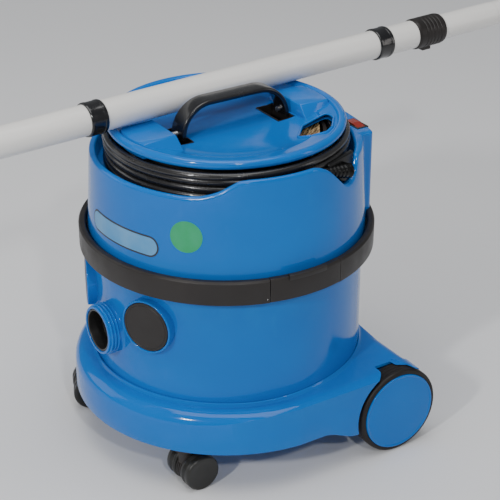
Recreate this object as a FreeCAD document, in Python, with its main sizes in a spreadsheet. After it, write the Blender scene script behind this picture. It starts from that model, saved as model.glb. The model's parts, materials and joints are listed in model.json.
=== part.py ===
"""Canister vacuum cleaner: a drum on a wheeled chassis, with a motor head, a wound lead and a wand on top.

Millimetres, +Z up, floor at z = 0.  The drum's axis is the Z axis, the hose inlet faces -Y.
"""
import FreeCAD, Part
import math
import os
import Sketcher
from FreeCAD import Placement, Rotation, Vector

DIMENSIONS = {
    # chassis
    "base_radius": 170.7, "base_half_width": 170.0, "base_rear": 137.0, "base_low": 50.0,
    "deck_height": 101.0, "base_wall": 4.0, "shoulder": 12.0, "ledge_radius": 120.0,
    "cheek_low": 37.0, "cheek_front": 22.0,
    # rear wheels
    "wheel_y": 114.0, "wheel_radius": 49.5, "tyre_inside": 150.0, "tyre_outside": 171.5,
    "cap_radius": 44.3, "cap_face": 173.5, "arch_radius": 52.0, "arch_inside": 148.5,
    "axle_radius": 5.0, "running_gap": 0.05,
    # castors
    "castor_x": 100.0, "castor_y": -115.0, "castor_yaw_right": 0.0, "castor_yaw_left": -25.0,
    "castor_trail": 8.0, "castor_radius": 20.0, "castor_reach": 22.0, "castor_gap": 5.5,
    "castor_stem": 6.0, "castor_axle": 3.0, "stem_depth": 31.5,
    # drum
    "drum_radius": 147.1, "drum_wall": 3.5, "drum_low": 62.0, "drum_rim": 236.0,
    "inlet_height": 154.0, "inlet_radius": 26.7, "inlet_bore": 23.4, "lining_bore": 21.0,
    "inlet_mouth": 163.0, "inlet_end": 131.0, "thread_rise": 1.4,
    "trim_height": 182.0, "trim_radius": 27.5, "trim_angle": 65.0, "trim_face": 155.0,
    # band and latches
    "band_radius": 160.0, "band_inside": 152.4, "band_low": 222.7, "band_high": 249.3,
    "latch_front": 16.4, "latch_rear": 15.0, "latch_gap": 0.25,
    "latch_pin_x": 151.5, "latch_pin_z": 227.5, "latch_pin_radius": 1.5,
    # head
    "head_low_radius": 150.0, "head_top_radius": 145.3, "head_low": 239.2, "head_top": 353.0,
    "rim_wall": 7.0, "head_wall": 4.5, "winding_deck": 315.0, "front_edge": 334.0,
    "spine_half_width": 73.0, "spine_rear": 150.0, "spine_top": 340.0,
    "motor_plate": 4.0, "motor_radius": 70.0, "motor_top": 302.0, "motor_eye": 25.0,
    # lead and its winding
    "lead_radius": 4.0, "winding_outside": 131.2, "winding_inside": 106.6, "winding_high": 355.5,
    "inner_winding_high": 348.4, "outer_layer": 123.0,
    # lid and handle
    "lid_radius": 126.8, "lid_bead": 5.0, "lid_bead_height": 361.3, "dish_height": 352.0,
    "dish_radius": 106.0, "lid_sheet": 3.0, "shoulder_top": 368.0, "shoulder_half_width": 38.0,
    "shoulder_front": 74.0, "shoulder_rear": 75.0,
    "handle_half_width": 12.0, "handle_thick": 5.5, "handle_half_span": 64.0,
    "handle_height": 33.0, "handle_pivot": 357.0, "handle_pin_radius": 3.0,
    "handle_middle": 6.0, "handle_corner": 36.0, "pocket_front": -73.5, "pocket_rear": 74.5,
    # brush
    "brush_x": 51.0, "brush_y": 58.0, "brush_radius": 24.0, "brush_foot": 316.0,
    # wand
    "wand_radius": 16.25, "wand_wall": 1.5, "wand_height": 384.3, "wand_x": -33.4, "wand_yaw": 3.32,
    "wand_half_length": 450.0, "inner_tube_radius": 14.6, "collar_radius": 18.1,
    "collar_length": 20.0, "front_collar": -155.0, "rear_collar": 225.0,
    "sleeve_start": 284.0, "sleeve_length": 41.0, "sleeve_radius": 17.8,
    "tool_end_radius": 15.9, "tool_end_length": 50.0, "hose_end_radius": 14.2, "hose_end_length": 40.0,
}


class Length:
    """A number together with the spreadsheet formula that gives it."""

    def __init__(self, value, formula):
        self.value = value
        self.formula = formula

    def joined(self, other, sign, value):
        return Length(value, "(%s %s %s)" % (self.formula, sign, formula_of(other)))

    def __add__(self, other):
        return self.joined(other, "+", self.value + number(other))

    def __sub__(self, other):
        return self.joined(other, "-", self.value - number(other))

    def __mul__(self, other):
        return self.joined(other, "*", self.value * number(other))

    def __truediv__(self, other):
        return self.joined(other, "/", self.value / number(other))

    def __neg__(self):
        return Length(-self.value, "(-1 * %s)" % self.formula)

    def __radd__(self, other):
        return Length(number(other) + self.value, "(%s + %s)" % (formula_of(other), self.formula))

    def __rsub__(self, other):
        return Length(number(other) - self.value, "(%s - %s)" % (formula_of(other), self.formula))

    __rmul__ = __mul__


def number(length):
    return length.value if isinstance(length, Length) else float(length)


def formula_of(length):
    return length.formula if isinstance(length, Length) else "%.6f" % length


class Sizes:
    """The driving dimensions, read by name: size.drum_radius is a Length."""


doc = FreeCAD.newDocument("canister_vacuum")
sheet = doc.addObject("Spreadsheet::Sheet", "Sizes")
size = Sizes()
for row, (alias, amount) in enumerate(DIMENSIONS.items(), start=1):
    sheet.set("A%d" % row, alias)
    sheet.set("B%d" % row, str(amount))
    sheet.setAlias("B%d" % row, alias)
    setattr(size, alias, Length(amount, "Sizes.%s" % alias))
doc.recompute()

TURNS = {
    "z": Rotation(),
    "x": Rotation(Vector(0, 1, 0), 90),
    "-x": Rotation(Vector(0, 1, 0), -90),
    "y": Rotation(Vector(1, 0, 0), -90),
    "-y": Rotation(Vector(1, 0, 0), 90),
}
subparts = []


def bind(thing, name, length):
    """Give a property its value, by formula when the value comes from the sheet."""
    if isinstance(length, Length):
        thing.setExpression(name, length.formula)
    else:
        parts = name.split(".")
        if len(parts) == 1:
            setattr(thing, name, length)


def place(thing, base=(0, 0, 0), turn="z"):
    """Put an object at a base point, turned to face a direction or by a Rotation."""
    rotation = TURNS[turn] if isinstance(turn, str) else turn
    thing.Placement = Placement(Vector(*[number(value) for value in base]), rotation)
    for axis, value in zip("xyz", base):
        bind(thing, "Placement.Base." + axis, value)
    return thing


def cylinder(name, radius, height, base=(0, 0, 0), turn="z", sweep=360):
    thing = doc.addObject("Part::Cylinder", name)
    bind(thing, "Radius", radius)
    bind(thing, "Height", height)
    bind(thing, "Angle", sweep)
    return place(thing, base, turn)


def cone(name, low_radius, high_radius, height, base=(0, 0, 0), turn="z"):
    thing = doc.addObject("Part::Cone", name)
    bind(thing, "Radius1", low_radius)
    bind(thing, "Radius2", high_radius)
    bind(thing, "Height", height)
    return place(thing, base, turn)


def torus(name, ring_radius, wire_radius, base=(0, 0, 0), turn="z"):
    thing = doc.addObject("Part::Torus", name)
    bind(thing, "Radius1", ring_radius)
    bind(thing, "Radius2", wire_radius)
    return place(thing, base, turn)


def block(name, length, width, height, base=(0, 0, 0), turn="z"):
    thing = doc.addObject("Part::Box", name)
    bind(thing, "Length", length)
    bind(thing, "Width", width)
    bind(thing, "Height", height)
    return place(thing, base, turn)


def fuse(name, *pieces):
    thing = doc.addObject("Part::MultiFuse", name)
    thing.Shapes = list(pieces)
    return thing


def cut(name, body, *tools):
    thing = doc.addObject("Part::Cut", name)
    thing.Base = body
    thing.Tool = tools[0] if len(tools) == 1 else fuse(name + "_tools", *tools)
    return thing


def common(name, first, second):
    thing = doc.addObject("Part::MultiCommon", name)
    thing.Shapes = [first, second]
    return thing


def group(name, pieces):
    thing = doc.addObject("Part::Compound", name)
    thing.Links = list(pieces)
    return thing


def mirrored(name, source):
    """The same piece on the other side of the plane x = 0."""
    thing = doc.addObject("Part::Mirroring", name)
    thing.Source = source
    thing.Base = Vector(0, 0, 0)
    thing.Normal = Vector(1, 0, 0)
    return thing


def ring(name, outside, inside, height, base=(0, 0, 0), turn="z", sweep=360):
    """A tube: one cylinder less another that runs past both its ends."""
    outer = cylinder(name + "_outside", outside, height, base, turn, sweep)
    inner = cylinder(name + "_inside", inside, height, base, turn)
    return cut(name, outer, inner)


def outline(body, name, plane, corners):
    """A closed sketch of straight lines, each corner held at its distances from the origin."""
    sketch = body.newObject("Sketcher::SketchObject", name)
    support = [item for item in body.Origin.OriginFeatures if item.Role == plane][0]
    sketch.AttachmentSupport = [(support, "")]
    sketch.MapMode = "FlatFace"
    points = [Vector(number(across), number(upward), 0) for across, upward in corners]
    for index, point in enumerate(points):
        sketch.addGeometry(Part.LineSegment(point, points[(index + 1) % len(points)]), False)
    for index in range(len(points)):
        following = (index + 1) % len(points)
        sketch.addConstraint(Sketcher.Constraint("Coincident", index, 2, following, 1))
    for index, corner in enumerate(corners):
        for kind, axis, length in (("DistanceX", -2, corner[0]), ("DistanceY", -1, corner[1])):
            hold_corner(sketch, index, kind, axis, length)
    return sketch


def hold_corner(sketch, index, kind, axis, length):
    if abs(number(length)) < 1e-9:
        sketch.addConstraint(Sketcher.Constraint("PointOnObject", index, 1, axis))
        return
    ends = (-1, 1, index, 1) if number(length) > 0 else (index, 1, -1, 1)
    made = sketch.addConstraint(Sketcher.Constraint(kind, *ends, abs(number(length))))
    if isinstance(length, Length):
        distance = length if number(length) > 0 else -length
        sketch.setExpression("Constraints[%d]" % made, distance.formula)


def turned(name, corners, base=(0, 0, 0), turn="z"):
    """A body of revolution about its own Z axis, from (radius, height) corners."""
    body = doc.addObject("PartDesign::Body", name)
    sketch = outline(body, name + "_section", "XZ_Plane", corners)
    revolution = body.newObject("PartDesign::Revolution", name + "_turned")
    revolution.Profile = sketch
    revolution.ReferenceAxis = (sketch, ["V_Axis"])
    revolution.Angle = 360
    body.Tip = revolution
    return place(body, base, turn)


def extruded(name, corners, depth, base=(0, 0, 0), turn="z"):
    """A prism from a sketch on its own XY plane."""
    body = doc.addObject("PartDesign::Body", name)
    sketch = outline(body, name + "_section", "XY_Plane", corners)
    pad = body.newObject("PartDesign::Pad", name + "_pad")
    pad.Profile = sketch
    bind(pad, "Length", depth)
    body.Tip = pad
    return place(body, base, turn)


def keep(label, thing):
    """Name a finished sub-part after its node."""
    thing.Label = label
    subparts.append(thing)
    return thing


def keep_pair(label, right_piece):
    """Keep a right-hand piece and its mirror image on the left."""
    keep(label + "_right", right_piece)
    keep(label + "_left", mirrored(label + "_left_mirror", right_piece))


# ---- chassis ---------------------------------------------------------------------------------

STANDING_YZ = Rotation(Vector(0, 1, 0), Vector(0, 0, 1), Vector(1, 0, 0), "ZXY")


def chassis_solid(name, inset, low, high):
    """The chassis plan, a circle in front and a straight-sided rear, drawn in by an inset."""
    front = cylinder(name + "_front", size.base_radius - inset, high - low, (0, 0, low))
    rear_width = (size.base_half_width - inset) * 2
    rear = block(name + "_rear", rear_width, size.base_rear - inset, high - low,
                 (inset - size.base_half_width, 0, low))
    behind = block(name + "_behind", 400, 60, high - low + 2, (-200, size.base_rear - inset, low - 1))
    plan = fuse(name + "_plan", front, rear)
    return cut(name, plan, behind)


def make_chassis():
    shoulder_low = size.deck_height - size.shoulder
    outer_low = chassis_solid("chassis_skirt", 0, size.base_low, shoulder_low)
    outer_high = chassis_solid("chassis_deck", size.shoulder / 2, shoulder_low, size.deck_height)
    step = chassis_solid("chassis_round", size.shoulder / 6, shoulder_low,
                         size.deck_height - size.shoulder / 2)
    hollow = chassis_solid("chassis_hollow", size.base_wall * 2.6, size.base_low + size.base_wall,
                           size.deck_height - size.base_wall)
    drum_hole = cylinder("chassis_drum_hole", size.drum_radius + 0.3, 60, (0, 0, size.drum_low))
    floor_hole = cylinder("chassis_floor_hole", size.ledge_radius, 80, (0, 0, 40))
    cheek_reach = size.wheel_y - size.cheek_front
    cheek = extruded("chassis_cheek", [
        (size.cheek_front, size.base_low + 6), (size.cheek_front, size.base_low),
        (size.cheek_front + 20, size.base_low - 5), (size.cheek_front + 36, size.cheek_low),
        (size.wheel_y, size.cheek_low), (size.wheel_y, size.base_low + 6),
    ], 8, (size.base_half_width - 8, 0, 0), STANDING_YZ)
    bearing = block("chassis_bearing", 24, 24, 30, (size.arch_inside - 24, size.wheel_y - 12, 38))
    inner_wall = block("chassis_arch_wall", size.base_wall, 92, 50,
                       (size.arch_inside - size.base_wall, size.base_rear - 92, size.base_low))
    ledge = ring("chassis_ledge", size.drum_radius + 6, size.ledge_radius, 12,
                 (0, 0, size.base_low))
    collar = cylinder("chassis_collar", size.drum_radius + 6, size.deck_height - size.base_low,
                      (0, 0, size.base_low))
    well = cylinder("chassis_well", size.drum_radius, 60, (0, 0, size.drum_low - 1))
    sockets = [cylinder("chassis_socket", 12, 12, (side * size.castor_x, size.castor_y, size.base_low))
               for side in (1, -1)]
    left = [mirrored(piece.Name + "_left", piece) for piece in (cheek, bearing, inner_wall)]
    shell = cut("chassis_shell", fuse("chassis_outer", outer_low, outer_high, step), hollow)
    ring_wall = cut("chassis_ring_wall", collar, well)
    solid = fuse("chassis_solid", shell, cheek, bearing, inner_wall, ledge, ring_wall, *left, *sockets)
    arch = cylinder("chassis_arch", size.arch_radius, 40,
                    (size.arch_inside, size.wheel_y, size.wheel_radius), "x")
    bore = cylinder("chassis_axle_bore", size.axle_radius, 30,
                    (size.arch_inside - 26, size.wheel_y, size.wheel_radius), "x")
    stem_bores = [cylinder("chassis_stem_bore", size.castor_stem + size.running_gap, size.stem_depth,
                           (side * size.castor_x, size.castor_y, size.base_low - 20)) for side in (1, -1)]
    holes = [mirrored(piece.Name + "_left", piece) for piece in (arch, bore)]
    screws = []
    for turn in (45, 135, 225, 315):
        spot = Vector(130 * math.cos(math.radians(turn)), 130 * math.sin(math.radians(turn)), 0)
        shank = cylinder("drum_screw_shank", 2.5, 11.5, (spot.x, spot.y, size.drum_low - 11))
        head = cylinder("drum_screw_head", 5, 3, (spot.x, spot.y, size.base_low + 0.5))
        screws.append(fuse("drum_screw", shank, head))
    keep("base_chassis", cut("chassis", solid, drum_hole, floor_hole, arch, bore, *holes, *stem_bores,
                             *screws))
    return keep("drum_screws", group("drum_screw_set", screws))


def make_rear_wheels():
    centre = (size.tyre_inside, size.wheel_y, size.wheel_radius)
    width = size.tyre_outside - size.tyre_inside
    tyre = turned("tyre", [
        (size.cap_radius - 1, 0), (size.wheel_radius - 2, 0), (size.wheel_radius, 3),
        (size.wheel_radius, width - 3), (size.wheel_radius - 2, width), (size.cap_radius - 1, width),
    ], centre, "x")
    keep_pair("tyre", tyre)
    core = turned("wheel_core_body", [
        (size.axle_radius + size.running_gap, 0), (12, 0), (12, 5), (size.cap_radius - 4, 5),
        (size.cap_radius - 4, 1), (size.cap_radius - 1, 1), (size.cap_radius - 1, width - 4),
        (12, width - 4), (12, width - 3), (size.axle_radius + size.running_gap, width - 3),
    ], centre, "x")
    keep_pair("wheel_core", core)
    dome = size.cap_face - size.tyre_outside + 2.5
    cap = turned("hub_cap_body", [
        (0, 1), (10, 1), (size.cap_radius - 1.2, 1), (size.cap_radius - 1.2, 2.5),
        (size.cap_radius, 2.5), (size.cap_radius, 3.4), (size.cap_radius - 2, dome - 0.4),
        (size.cap_radius - 12, dome), (0, dome),
    ], (size.tyre_outside - 2.5, size.wheel_y, size.wheel_radius), "x")
    keep_pair("hub_cap", cap)
    axle = cylinder("stub_axle_body", size.axle_radius, 41,
                    (size.arch_inside - 24, size.wheel_y, size.wheel_radius), "x")
    keep_pair("stub_axle", axle)


def make_castor(side, name):
    """A twin-wheel castor: a hood on a swivel stem, an axle and two wheels."""
    yaw = DIMENSIONS["castor_yaw_right" if side > 0 else "castor_yaw_left"]
    along = Vector(math.cos(math.radians(yaw)), math.sin(math.radians(yaw)), 0)
    trail = Vector(0, 0, 1).cross(along) * (side * DIMENSIONS["castor_trail"])
    stem = Vector(side * DIMENSIONS["castor_x"], DIMENSIONS["castor_y"], 0)
    hub = stem + trail + Vector(0, 0, DIMENSIONS["castor_radius"])
    facing = Rotation(Vector(0, 0, 1), yaw).multiply(TURNS["x"])

    def across(offset):
        return tuple(hub + along * offset)

    gap = DIMENSIONS["castor_gap"]
    hood_disc = cylinder(name + "_hood_disc", size.castor_radius - 2, size.castor_gap * 2 - 1,
                         across(0.5 - gap), facing)
    neck = cylinder(name + "_neck", 9, 20, (stem.x, stem.y, 28))
    collar = cylinder(name + "_collar", 14, 5, (stem.x, stem.y, 44.6))
    post = cylinder(name + "_post", size.castor_stem, 18, (stem.x, stem.y, 43))
    reach = DIMENSIONS["castor_reach"]
    bevel = 2.0
    bore = size.castor_axle + 0.1
    wheels = []
    for hand, inner in ((1, gap), (-1, -gap)):
        start = across(inner)
        turn_to = facing if hand > 0 else Rotation(Vector(0, 0, 1), yaw + 180).multiply(TURNS["x"])
        wheels.append(turned(name + "_wheel", [
            (bore, 0), (size.castor_radius - bevel, 0), (size.castor_radius, bevel),
            (size.castor_radius, reach - gap - bevel), (size.castor_radius - bevel, reach - gap),
            (0, reach - gap), (0, reach - gap - 2.9), (bore, reach - gap - 2.9),
        ], start, turn_to))
    axle = cylinder(name + "_axle_rod", size.castor_axle, (reach - 3) * 2, across(3 - reach), facing)
    axle_hole = cylinder(name + "_axle_hole", size.castor_axle + size.running_gap, 80, across(-40), facing)
    swept = [cylinder(name + "_swept", size.castor_radius + 0.6, 40, across(gap - 0.3), facing),
             cylinder(name + "_swept", size.castor_radius + 0.6, 40, across(0.3 - gap),
                      Rotation(Vector(0, 0, 1), yaw + 180).multiply(TURNS["x"]))]
    hood = fuse(name + "_hood_solid", hood_disc, neck, collar, post)
    keep(name + "_hood", cut(name + "_hood_cut", hood, axle_hole, *swept))
    keep(name + "_wheels", group(name + "_wheel_pair", wheels))
    keep(name + "_axle", axle)


# ---- drum ------------------------------------------------------------------------------------

def inlet_base(distance):
    """A point on the hose inlet's axis, the given distance in front of the drum's axis."""
    return (0, -distance, size.inlet_height)


def make_drum(screws):
    inside = size.drum_radius - size.drum_wall
    shell = turned("drum_shell", [
        (0, size.drum_low), (size.drum_radius - 6, size.drum_low), (size.drum_radius, size.drum_low + 6),
        (size.drum_radius, size.drum_rim), (inside, size.drum_rim), (inside, size.drum_low + 10),
        (inside - 6, size.drum_low + 4), (0, size.drum_low + 4),
    ])
    hole = cylinder("drum_inlet_hole", size.inlet_bore + 2, 40, inlet_base(size.inlet_mouth), "y")
    bosses = []
    discs = []
    for side in (1, -1):
        turn = math.radians(-90 + side * (90 - DIMENSIONS["trim_angle"]))
        facing = Rotation(Vector(0, 0, 1), math.degrees(turn)).multiply(TURNS["x"])
        reach = number(size.drum_radius) - 2.5
        boss = cylinder("trim_boss", size.trim_radius + 2, size.trim_face - size.drum_radius,
                        (reach * math.cos(turn), reach * math.sin(turn), size.trim_height), facing)
        bosses.append(boss)
        depth = number(size.trim_face) - 2.2
        disc = cylinder("trim_disc", size.trim_radius, 3.2,
                        (depth * math.cos(turn), depth * math.sin(turn), size.trim_height), facing)
        discs.append(keep("trim_disc_right" if side > 0 else "trim_disc_left", disc))
    core = cylinder("drum_core", inside, 170, (0, 0, size.drum_low + 10))
    solid = fuse("drum_solid", shell, *[cut("trim_boss_shell", boss, core) for boss in bosses])
    keep("drum", cut("drum_cut", solid, hole, *discs, screws))


def make_inlet():
    drum_outside = cylinder("inlet_drum_outside", size.drum_radius, 120, (0, 0, 100))
    length = size.inlet_mouth - 130
    tube = cylinder("inlet_tube", size.inlet_radius, length, inlet_base(size.inlet_mouth), "y")
    neck = cylinder("inlet_neck", size.inlet_bore + 2, size.inlet_mouth - size.inlet_end,
                    inlet_base(size.inlet_mouth), "y")
    threads = [torus("inlet_thread", size.inlet_radius, size.thread_rise,
                     inlet_base(size.inlet_mouth - offset), "y") for offset in (4, 8, 12)]
    outside = cut("inlet_outside", fuse("inlet_threaded", tube, *threads), drum_outside)
    bore = cylinder("inlet_bore", size.inlet_bore, 60, inlet_base(size.inlet_mouth + 10), "y")
    keep("hose_inlet", cut("inlet_cut", fuse("inlet_solid", outside, neck), bore))
    lining = ring("inlet_lining_tube", size.inlet_bore, size.lining_bore,
                  size.inlet_mouth - size.inlet_end - 1, inlet_base(size.inlet_mouth - 0.8), "y")
    keep("inlet_lining", lining)


def make_drum_contents():
    seal = ring("drum_seal_ring", size.drum_radius + 2, size.drum_radius - 0.8, 2.4, (0, 0, size.drum_rim))
    keep("drum_seal", seal)
    flange = ring("filter_flange", size.drum_radius - 1.1, 98, 2.4, (0, 0, size.drum_rim))
    lip = ring("filter_lip", 101, 98, 10, (0, 0, size.drum_rim - 9))
    keep("filter_ring", fuse("filter_ring_solid", flange, lip))
    filter_outer = cone("filter_outer", 78, 97.8, 42, (0, 0, size.drum_rim - 41))
    filter_inner = cone("filter_inner", 75, 94.8, 42, (0, 0, size.drum_rim - 38))
    keep("filter_cone", cut("filter_cut", filter_outer, filter_inner))
    bag_front = block("bag_front", 300, 60, 200, (-150, -189, 50))
    bag = turned("bag_body", [
        (0, 66.5), (95, 66.5), (112, 74), (118, 100), (112, 150), (90, 172), (0, 176),
    ])
    keep("dust_bag", cut("bag_cut", bag, bag_front))
    plate = block("collar_plate", 84, 2.5, 84, (-42, -132.5, size.inlet_height - 42))
    collar_hole = cylinder("collar_hole", size.inlet_bore + 2, 20, inlet_base(140), "y")
    keep("bag_collar", cut("bag_collar_cut", plate, collar_hole))


def arc_ring(name, outside, inside, low, high, start, sweep):
    """Part of a ring about the drum's axis, from a start angle through a sweep."""
    facing = Rotation(Vector(0, 0, 1), start)
    outer = cylinder(name + "_outside", outside, high - low, (0, 0, low), facing, sweep)
    inner = cylinder(name + "_inside", inside, high - low + 2, (0, 0, low - 1))
    return cut(name, outer, inner)


def make_band():
    front = DIMENSIONS["latch_front"]
    rear = DIMENSIONS["latch_rear"]
    seat = size.drum_rim
    pin_holes = []
    for side in (1, -1):
        pin = cylinder("latch_pin_rod", size.latch_pin_radius, 92,
                       (side * size.latch_pin_x, -48, size.latch_pin_z), "y")
        pin_holes.append(pin)
        keep("latch_pin_right" if side > 0 else "latch_pin_left", pin)
    for name, start, sweep in (("band_front", 180 + front, 180 - 2 * front),
                               ("band_rear", rear, 180 - 2 * rear)):
        lower = arc_ring(name + "_lower", size.band_radius, size.drum_radius, size.band_low, seat,
                         start, sweep)
        upper = arc_ring(name + "_upper", size.band_radius, size.band_inside, seat, size.band_high,
                         start, sweep)
        keep(name, cut(name + "_cut", fuse(name + "_solid", lower, upper), *pin_holes))
    gap = DIMENSIONS["latch_gap"] / DIMENSIONS["band_radius"] * 180 / math.pi
    plate = arc_ring("latch_plate", size.band_radius, size.band_inside + 0.4, size.band_low, size.band_high,
                     gap - front, front + rear - 2 * gap)
    lip = arc_ring("latch_lip", size.band_radius + 2.2, size.band_radius - 1, size.band_high - 5,
                   size.band_high, -9, 16)
    barrel = cylinder("latch_barrel", 3.2, 44, (size.latch_pin_x, -24, size.latch_pin_z), "y")
    bore = cylinder("latch_bore", size.latch_pin_radius + size.running_gap, 100,
                    (size.latch_pin_x, -50, size.latch_pin_z), "y")
    swing = [block("latch_swing_front", 40, 8, 12.5, (140, -50.4, 221.5)),
             block("latch_swing_rear", 40, 8, 12.5, (140, 38.7, 221.5))]
    keep_pair("latch", cut("latch_cut", fuse("latch_solid", plate, lip, barrel), bore, *swing))


# ---- head ------------------------------------------------------------------------------------

def make_head():
    low_inside = size.head_low_radius - size.head_wall
    top_inside = size.head_top_radius - size.rim_wall
    shell = turned("head_shell", [
        (low_inside, size.head_low), (size.head_low_radius, size.head_low),
        (size.head_low_radius, size.head_low + 11), (size.head_top_radius, size.spine_top),
        (size.head_top_radius, size.head_top), (top_inside, size.head_top),
        (top_inside, size.winding_deck), (size.motor_eye, size.winding_deck),
        (size.motor_eye, size.winding_deck - 3.5), (low_inside - 3, size.winding_deck - 3.5),
    ])
    spine_block = block("spine_block", size.spine_half_width * 2, size.spine_rear - 90,
                        size.spine_top - size.band_high - 0.4,
                        (-size.spine_half_width, 90, size.band_high + 0.4))
    spine_corner = cylinder("spine_corner", 164, 200, (0, -6, 200))
    spine_core = turned("spine_core", [
        (0, size.head_low), (low_inside, size.head_low), (low_inside - 3, size.winding_deck - 3.5),
        (top_inside, size.winding_deck), (top_inside, size.head_top + 5), (0, size.head_top + 5),
    ])
    spine = cut("spine", common("spine_round", spine_block, spine_corner), spine_core)
    over_spine = block("over_spine", size.spine_half_width * 2 + 6, 60, 40,
                       (-size.spine_half_width - 3, 105, size.spine_top))
    front_notch = extruded("front_notch", [
        (-103, size.front_edge), (103, size.front_edge), (113.5, size.front_edge + 3.5),
        (124.6, size.front_edge + 12.5), (131, size.front_edge + 20), (131, size.front_edge + 40),
        (-131, size.front_edge + 40), (-131, size.front_edge + 20), (-124.6, size.front_edge + 12.5),
        (-113.5, size.front_edge + 3.5),
    ], 170, (0, 0, 0), "-y")
    relief_notch = extruded("relief_notch", [
        (33, size.head_top + 1), (40, 341), (60, 320), (76, 318), (86, 326), (88, size.head_top + 1),
    ], 80, (100, 0, 0), STANDING_YZ)
    outlet_notch = block("outlet_notch", 50, 115, 40, (-150, 22, size.spine_top + 1))
    bezel_seat = block("switch_seat", 27, 15, 14, (32.5, 128.5, size.spine_top - 12))
    keep("head_cover", cut("head_cut", fuse("head_solid", shell, spine), over_spine, front_notch,
                           relief_notch, outlet_notch, bezel_seat))

    plate = ring("motor_plate_disc", low_inside - 0.2, size.motor_eye, size.motor_plate,
                 (0, 0, size.head_low))
    keep("motor_plate", plate)
    floor = number(size.head_low + size.motor_plate)
    inside = size.motor_radius - 4
    housing = turned("motor_housing_shell", [
        (size.motor_eye, floor), (size.motor_radius, floor), (size.motor_radius, size.motor_top),
        (5.05, size.motor_top), (5.05, size.motor_top - 4), (inside, size.motor_top - 4),
        (inside, floor + 4), (size.motor_eye, floor + 4),
    ])
    keep("motor_housing", housing)
    rotor = turned("motor_rotor_shape", [
        (0, floor + 6), (55, floor + 6), (55, floor + 18), (8, floor + 18), (8, floor + 22),
        (30, floor + 22), (30, floor + 50), (5, floor + 50), (5, size.motor_top + 2), (0, size.motor_top + 2),
    ])
    keep("motor_rotor", rotor)
    hub = ring("cable_hub_wall", size.winding_inside - 0.4, size.winding_inside - 4, 34,
               (0, 0, size.winding_deck))
    keep("cable_hub", hub)
    winding = turned("winding", [
        (size.winding_inside, size.winding_deck + 0.4), (size.winding_outside, size.winding_deck + 0.4),
        (size.winding_outside, size.winding_high), (size.outer_layer, size.winding_high),
        (size.outer_layer, size.inner_winding_high), (size.winding_inside, size.inner_winding_high),
    ])
    keep("mains_lead_winding", winding)


def make_lid():
    bead_centre = size.lid_radius - size.lid_bead
    bead = torus("lid_bead", bead_centre, size.lid_bead, (0, 0, size.lid_bead_height))
    dish = turned("lid_dish", [
        (0, size.dish_height - size.lid_sheet), (size.dish_radius, size.dish_height - size.lid_sheet),
        (bead_centre, size.lid_bead_height - 3), (bead_centre, size.lid_bead_height + 1),
        (size.dish_radius - 2, size.dish_height), (0, size.dish_height),
    ])
    round_edge = cylinder("lid_edge", bead_centre, 60, (0, 0, 330))
    shoulders = []
    for side, start in ((-1, size.shoulder_front), (1, size.shoulder_rear)):
        rise = size.shoulder_top - size.dish_height
        solid = block("lid_shoulder", size.shoulder_half_width * 2, size.lid_radius - start, rise,
                      (-size.shoulder_half_width, start if side > 0 else -size.lid_radius, size.dish_height))
        shoulders.append(common("lid_shoulder_round", solid, round_edge))
    opening = extruded("lid_opening", [(73, 41), (88, 65), (62, 93), (47, 96), (49, 65)],
                       60, (0, 0, 330))
    pockets = [block("handle_pocket", 44.5, 22, 30, (-24, size.pocket_front, 330)),
               block("handle_pocket", 44.5, 22, 30, (-24, size.pocket_rear - 22, 330))]
    pins = []
    for name, start, length in (("front", size.pocket_front - 3, 22), ("rear", 64, 13.5)):
        pins.append(cylinder("handle_pin_rod", size.handle_pin_radius, length,
                             (0, start, size.handle_pivot), "y"))
        keep("handle_pin_" + name, pins[-1])
    ears = [block("pocket_wall_front", 44.5, 7, 24, (-24, size.pocket_front - 7.1, 340)),
            block("pocket_wall_rear", 44.5, 7, 24, (-24, size.pocket_rear, 340))]
    solid = fuse("lid_solid", bead, dish, *shoulders, *ears)
    keep("lid", cut("lid_cut", solid, opening, *pockets, *pins))
    screws = [cylinder("lid_screw", 3.5, 2.2, (88 * math.cos(math.radians(turn)),
                                               88 * math.sin(math.radians(turn)), size.dish_height))
              for turn in (-20, 150, 200)]
    keep("lid_screws", group("lid_screw_set", screws))


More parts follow.
